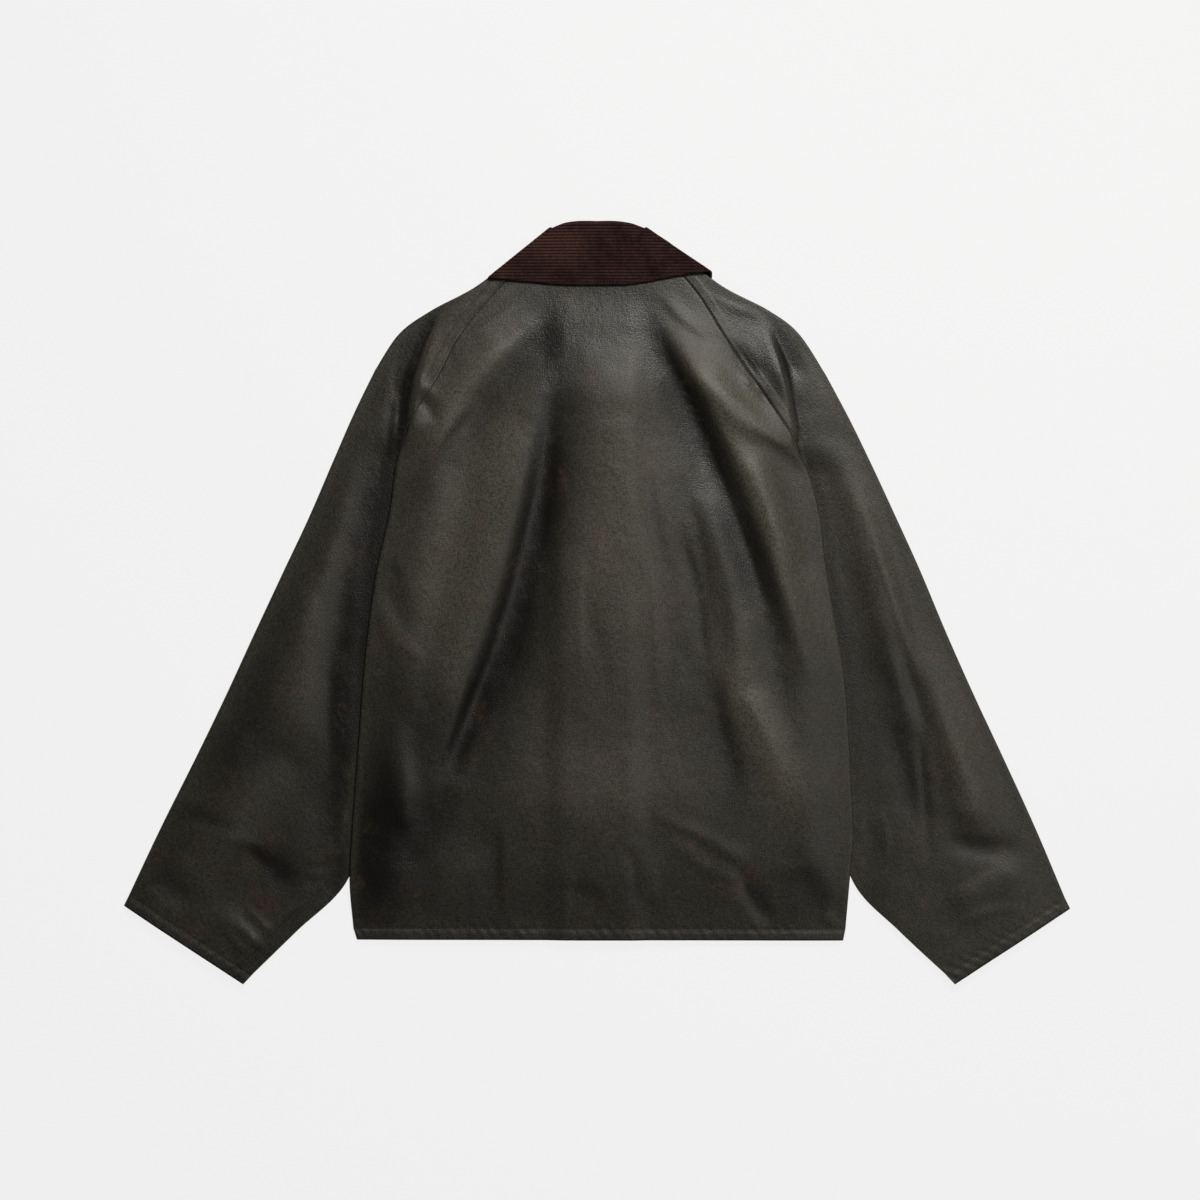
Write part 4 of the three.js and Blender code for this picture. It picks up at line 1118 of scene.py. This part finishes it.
class JACKET_OT_collar(Operator):
    """Corduroy collar, rolled over its stand at the back and folded flat round both sides"""

    bl_idname = "jacket.collar"
    bl_label = "Collar"

    def execute(self, context):
        sizes = context.scene.jacket_sizes
        sheet, wales, _ = collar_sheet(sizes.wale / MM)
        x, y = sheet[..., 0], sheet[..., 1]
        # The pile is worn most left of the middle of the roll, and a little by the left corner
        worn = np.exp(-(((x + 38) / 26) ** 2) - ((y - 358) / 17) ** 2)
        worn += 0.35 * np.exp(-(((x + 92) / 14) ** 2) - ((y - 334) / 12) ** 2) + 0.25
        values = {"wale": wales, "worn": np.clip(worn, 0, 1)}
        piece = cloth_object("corduroy_collar", sheet, sizes.corduroy, corduroy("cotton_corduroy"), values,
                             flipped=True)
        declare(piece, "collar")
        return {"FINISHED"}


class JACKET_OT_studs(Operator):
    """Press studs down the shut front, seen on the underside"""

    bl_idname = "jacket.studs"
    bl_label = "Press studs"

    def execute(self, context):
        brass = aged_brass("aged_brass")
        cap_top = STUD_LIFT + STUD_CAP_HEIGHT
        ring_foot = PLACKET_RISE + 2 * LAYER
        ring_top = ring_foot + STUD_RING_HEIGHT
        r = STUD_CAP_RADIUS
        profile = np.array([
            (0.02, STUD_LIFT + 0.12), (0.3 * r, STUD_LIFT + 0.1), (0.55 * r, STUD_LIFT + 0.05),
            (0.68 * r, STUD_LIFT), (0.74 * r, STUD_LIFT + 0.22), (0.8 * r, STUD_LIFT + 0.1),
            (0.92 * r, STUD_LIFT + 0.3), (r, STUD_LIFT + 0.8), (r, cap_top - 0.1), (0.97 * r, cap_top),
            (STUD_NECK_RADIUS, cap_top), (STUD_NECK_RADIUS, ring_foot), (STUD_RING_RADIUS, ring_foot),
            (STUD_RING_RADIUS, ring_top - 0.2), (0.9 * STUD_RING_RADIUS, ring_top), (0.02, ring_top),
        ])
        around = np.radians(np.arange(0, 361, 7.5))
        for n in range(STUDS):
            centre_y = STUD_TOP - STUD_SPACING * n
            lift = float(front_rise(np.array(0.0), np.array(centre_y))) - PLACKET_RISE
            x = profile[:, 0] * np.cos(around)[:, None]
            y = centre_y + profile[:, 0] * np.sin(around)[:, None]
            z = np.broadcast_to(profile[:, 1] + lift, x.shape)
            sheet = np.dstack([x, y, z])
            faces = grid_faces(*sheet.shape[:2], flipped=True)
            piece = mesh_object(f"stud_{n + 1}_brass", sheet.reshape(-1, 3), faces, brass)
            self.close(piece)
            declare(piece, f"stud_{n + 1}")
        return {"FINISHED"}

    @staticmethod
    def close(piece):
        """Joins the two ends of the lathe and the points on its axis."""
        weld = piece.modifiers.new("weld", "WELD")
        weld.merge_threshold = 0.05 * MM


def stitches(path, pitch, radius, inset=0.62):
    """Points and faces of a run of stitches on a path, each a short thread that dips at its ends."""
    path = np.asarray(path, float)
    run = np.concatenate([[0], np.cumsum(np.linalg.norm(np.diff(path, axis=0), axis=1))])
    count = max(1, int(run[-1] // pitch))
    centre = (np.arange(count) + 0.5) * pitch
    middle, ahead = (np.column_stack([np.interp(s, run, path[:, k]) for k in range(3)])
                     for s in (centre, centre + 0.5))
    forward = ahead - middle
    forward /= np.linalg.norm(forward, axis=1)[:, None]
    side = np.cross([0, 0, 1.0], forward)
    side /= np.linalg.norm(side, axis=1)[:, None]
    up = np.cross(forward, side)
    reach = pitch * inset / 2
    stations = np.array([-1, -0.8, -0.3, 0.3, 0.8, 1])
    girth = np.array([0.3, 0.8, 1, 1, 0.8, 0.3]) * radius
    height = np.array([-0.9, 0.0, 0.7, 0.7, 0.0, -0.9]) * radius
    angle = np.radians(np.arange(0, 360, 60))
    along = (stations * reach)[None, :, None, None] * forward[:, None, None, :]
    lift = height[None, :, None, None] * up[:, None, None, :]
    aside = (girth[:, None] * np.cos(angle))[None, :, :, None] * side[:, None, None, :]
    above = (girth[:, None] * np.sin(angle))[None, :, :, None] * up[:, None, None, :]
    around = aside + above
    points = middle[:, None, None, :] + along + lift + around
    sides, levels = len(angle), len(stations)
    index = np.arange(levels * sides).reshape(levels, sides)
    nxt = np.roll(index, -1, axis=1)
    quads = np.stack([index[:-1], nxt[:-1], nxt[1:], index[1:]], -1).reshape(-1, 4)
    caps = [[*index[0][::-1]], [*index[-1]]]
    faces = []
    for n in range(count):
        start = n * levels * sides
        faces += (quads + start).tolist()
        faces += [[i + start for i in cap] for cap in caps]
    return points.reshape(-1, 3), faces


def on_surface(line, surface, lift=0.1):
    """A line in plan, laid on a surface."""
    x, y = line[:, 0], line[:, 1]
    return np.column_stack([x, y, surface(x, y)[0] + lift])


def beside(line, offset):
    """A line moved sideways, to its left where offset is positive."""
    run = np.gradient(np.asarray(line, float), axis=0)
    run /= np.hypot(*run.T)[:, None]
    return line + offset * np.column_stack([-run[:, 1], run[:, 0]])


def even_line(line, spacing=2.0):
    run = np.concatenate([[0], np.cumsum(np.hypot(*np.diff(line, axis=0).T))])
    s = np.linspace(0, run[-1], max(2, int(run[-1] / spacing)))
    return np.column_stack([np.interp(s, run, line[:, k]) for k in range(2)])


class JACKET_OT_stitching(Operator):
    """Rows of stitches on the seams, hem, cuffs and collar"""

    bl_idname = "jacket.stitching"
    bl_label = "Stitching"

    def execute(self, context):
        sizes = context.scene.jacket_sizes
        colours = context.scene.jacket_colours
        pitch, radius = sizes.stitch / MM, sizes.thread / MM
        hem_thread = sewing_thread("hem_thread", colours.thread)
        seam_thread = sewing_thread("seam_thread", colours.dark_thread)
        runs = {"raglan_stitching": [], "hem_stitching": [], "cuff_stitching": [], "underarm_stitching": [],
                "collar_stitching": [], "front_stitching": []}
        for side in SIDES:
            seam = even_line(LINES[side]["raglan_back"])
            seam = seam[seam[:, 1] < 322]
            surface = sleeve_surface(side)
            seam_row = beside(seam, -SEAM_ROWS[0] * OUTWARD[side])
            runs["raglan_stitching"].append(on_surface(seam_row, surface))
            cuff = np.array([LINES[side]["under_arm"][0], LINES[side]["over_arm"][0]])
            inner = even_line(cuff)[2:-2]
            row = beside(inner, CUFF_HEM * OUTWARD[side])
            runs["cuff_stitching"].append(on_surface(row, surface))
        hem = even_line(hem_line())[1:-1]
        runs["hem_stitching"].append(on_surface(beside(hem, HEM), back_surface))
        felled = even_line(underarm_seam())
        left = sleeve_surface("left")
        for offset in (-SEAM_ROWS[0], SEAM_ROWS[1]):
            runs["underarm_stitching"].append(on_surface(beside(felled, offset), left))
        runs["collar_stitching"].append(self.collar_row(sizes))
        for x in (-LAP + LAP_ROW, LAP - LAP_ROW):
            y = np.linspace(*LAP_ROW_ENDS, 290)
            line = np.column_stack([np.full(len(y), x), y])
            z = front_rise(line[:, 0], line[:, 1])
            runs["front_stitching"].append(np.column_stack([line, z - 0.02]))
        for name, paths in runs.items():
            points, faces, count = [], [], 0
            for path in paths:
                p, f = stitches(path, pitch, radius)
                faces += [[i + count for i in face] for face in f]
                points.append(p)
                count += len(p)
            thread = hem_thread if name in ("hem_stitching", "cuff_stitching") else seam_thread
            piece = mesh_object(name, np.vstack(points), faces, thread)
            declare(piece, None)
        return {"FINISHED"}

    @staticmethod
    def collar_row(sizes):
        """A row 4 mm in from the edge of the collar, where it shows."""
        sheet, _, turns = collar_sheet(sizes.wale / MM)
        row = round(STITCH_ROW * FALL_ROWS)
        return np.array([station[row] + (0, 0, 0.1) for station, turn in zip(sheet, turns) if turn == 0])


class JACKET_OT_stage(Operator):
    """Pale floor, soft studio light and a camera straight over the laid jacket"""

    bl_idname = "jacket.stage"
    bl_label = "Stage"

    def execute(self, context):
        scene = context.scene
        scene.view_settings.view_transform = "Standard"
        half = 6000.0
        corners = [(-half, -half, -0.05), (half, -half, -0.05), (half, half, -0.05), (-half, half, -0.05)]
        floor = mesh_object("floor", corners, [(0, 1, 2, 3)], light_table("lit_acrylic"), smooth_faces=False)

        world = bpy.data.worlds.new("studio")
        world.use_nodes = True
        background = world.node_tree.nodes["Background"]
        background.inputs["Color"].default_value = (1, 1, 1, 1)
        background.inputs["Strength"].default_value = 0.09
        scene.world = world

        # A softbox past the collar, and a weak one over the right sleeve
        self.softbox("key", (0.5, 1.2, 1.35), (0.0, 0.0, 0.0), (0.6, 0.45), 30)
        self.softbox("fill", (1.2, -0.2, 1.5), (0.2, 0.0, 0.0), (0.8, 0.8), 5)

        # The photograph's frame is 1.2 m wide on the jacket
        camera = bpy.data.cameras.new("camera")
        camera.lens, camera.sensor_width = 100, 36
        made = bpy.data.objects.new("camera", camera)
        width, middle, above_floor = 1.2, (0.003, 0.003), 0.008
        made.location = (*middle, width * camera.lens / camera.sensor_width + above_floor)
        scene.collection.objects.link(made)
        scene.camera = made
        return {"FINISHED"}

    @staticmethod
    def softbox(name, place, target, size, power):
        light = bpy.data.lights.new(name, "AREA")
        light.shape = "RECTANGLE"
        light.size, light.size_y = size
        light.energy = power
        light.color = LAMP_COLOUR
        made = bpy.data.objects.new(name, light)
        made.location = place
        aim = Vector(target) - Vector(place)
        made.rotation_euler = aim.to_track_quat("-Z", "Y").to_euler()
        bpy.context.scene.collection.objects.link(made)


class JACKET_PT_pieces(Panel):
    """Lists the pieces of the jacket"""

    bl_idname = "JACKET_PT_pieces"
    bl_label = "Waxed Cotton Jacket"
    bl_space_type = "VIEW_3D"
    bl_region_type = "UI"
    bl_category = "Jacket"

    def draw(self, context):
        for operator in OPERATORS:
            self.layout.operator(operator.bl_idname)
        for group in (context.scene.jacket_sizes, context.scene.jacket_colours):
            box = self.layout.box()
            for name in group.bl_rna.properties.keys():
                if name not in ("rna_type", "name"):
                    box.prop(group, name)


OPERATORS = (
    JACKET_OT_stage,
    JACKET_OT_back,
    JACKET_OT_fronts,
    JACKET_OT_sleeves,
    JACKET_OT_collar,
    JACKET_OT_studs,
    JACKET_OT_stitching,
)
CLASSES = (JacketSizes, JacketColours, *OPERATORS, JACKET_PT_pieces)


def register():
    for cls in CLASSES:
        bpy.utils.register_class(cls)
    bpy.types.Scene.jacket_sizes = PointerProperty(type=JacketSizes)
    bpy.types.Scene.jacket_colours = PointerProperty(type=JacketColours)


def unregister():
    del bpy.types.Scene.jacket_sizes
    del bpy.types.Scene.jacket_colours
    for cls in reversed(CLASSES):
        bpy.utils.unregister_class(cls)


def main():
    register()
    for operator in OPERATORS:
        group, name = operator.bl_idname.split(".")
        getattr(getattr(bpy.ops, group), name)()
    bpy.context.view_layer.update()


if __name__ == "__main__":
    main()
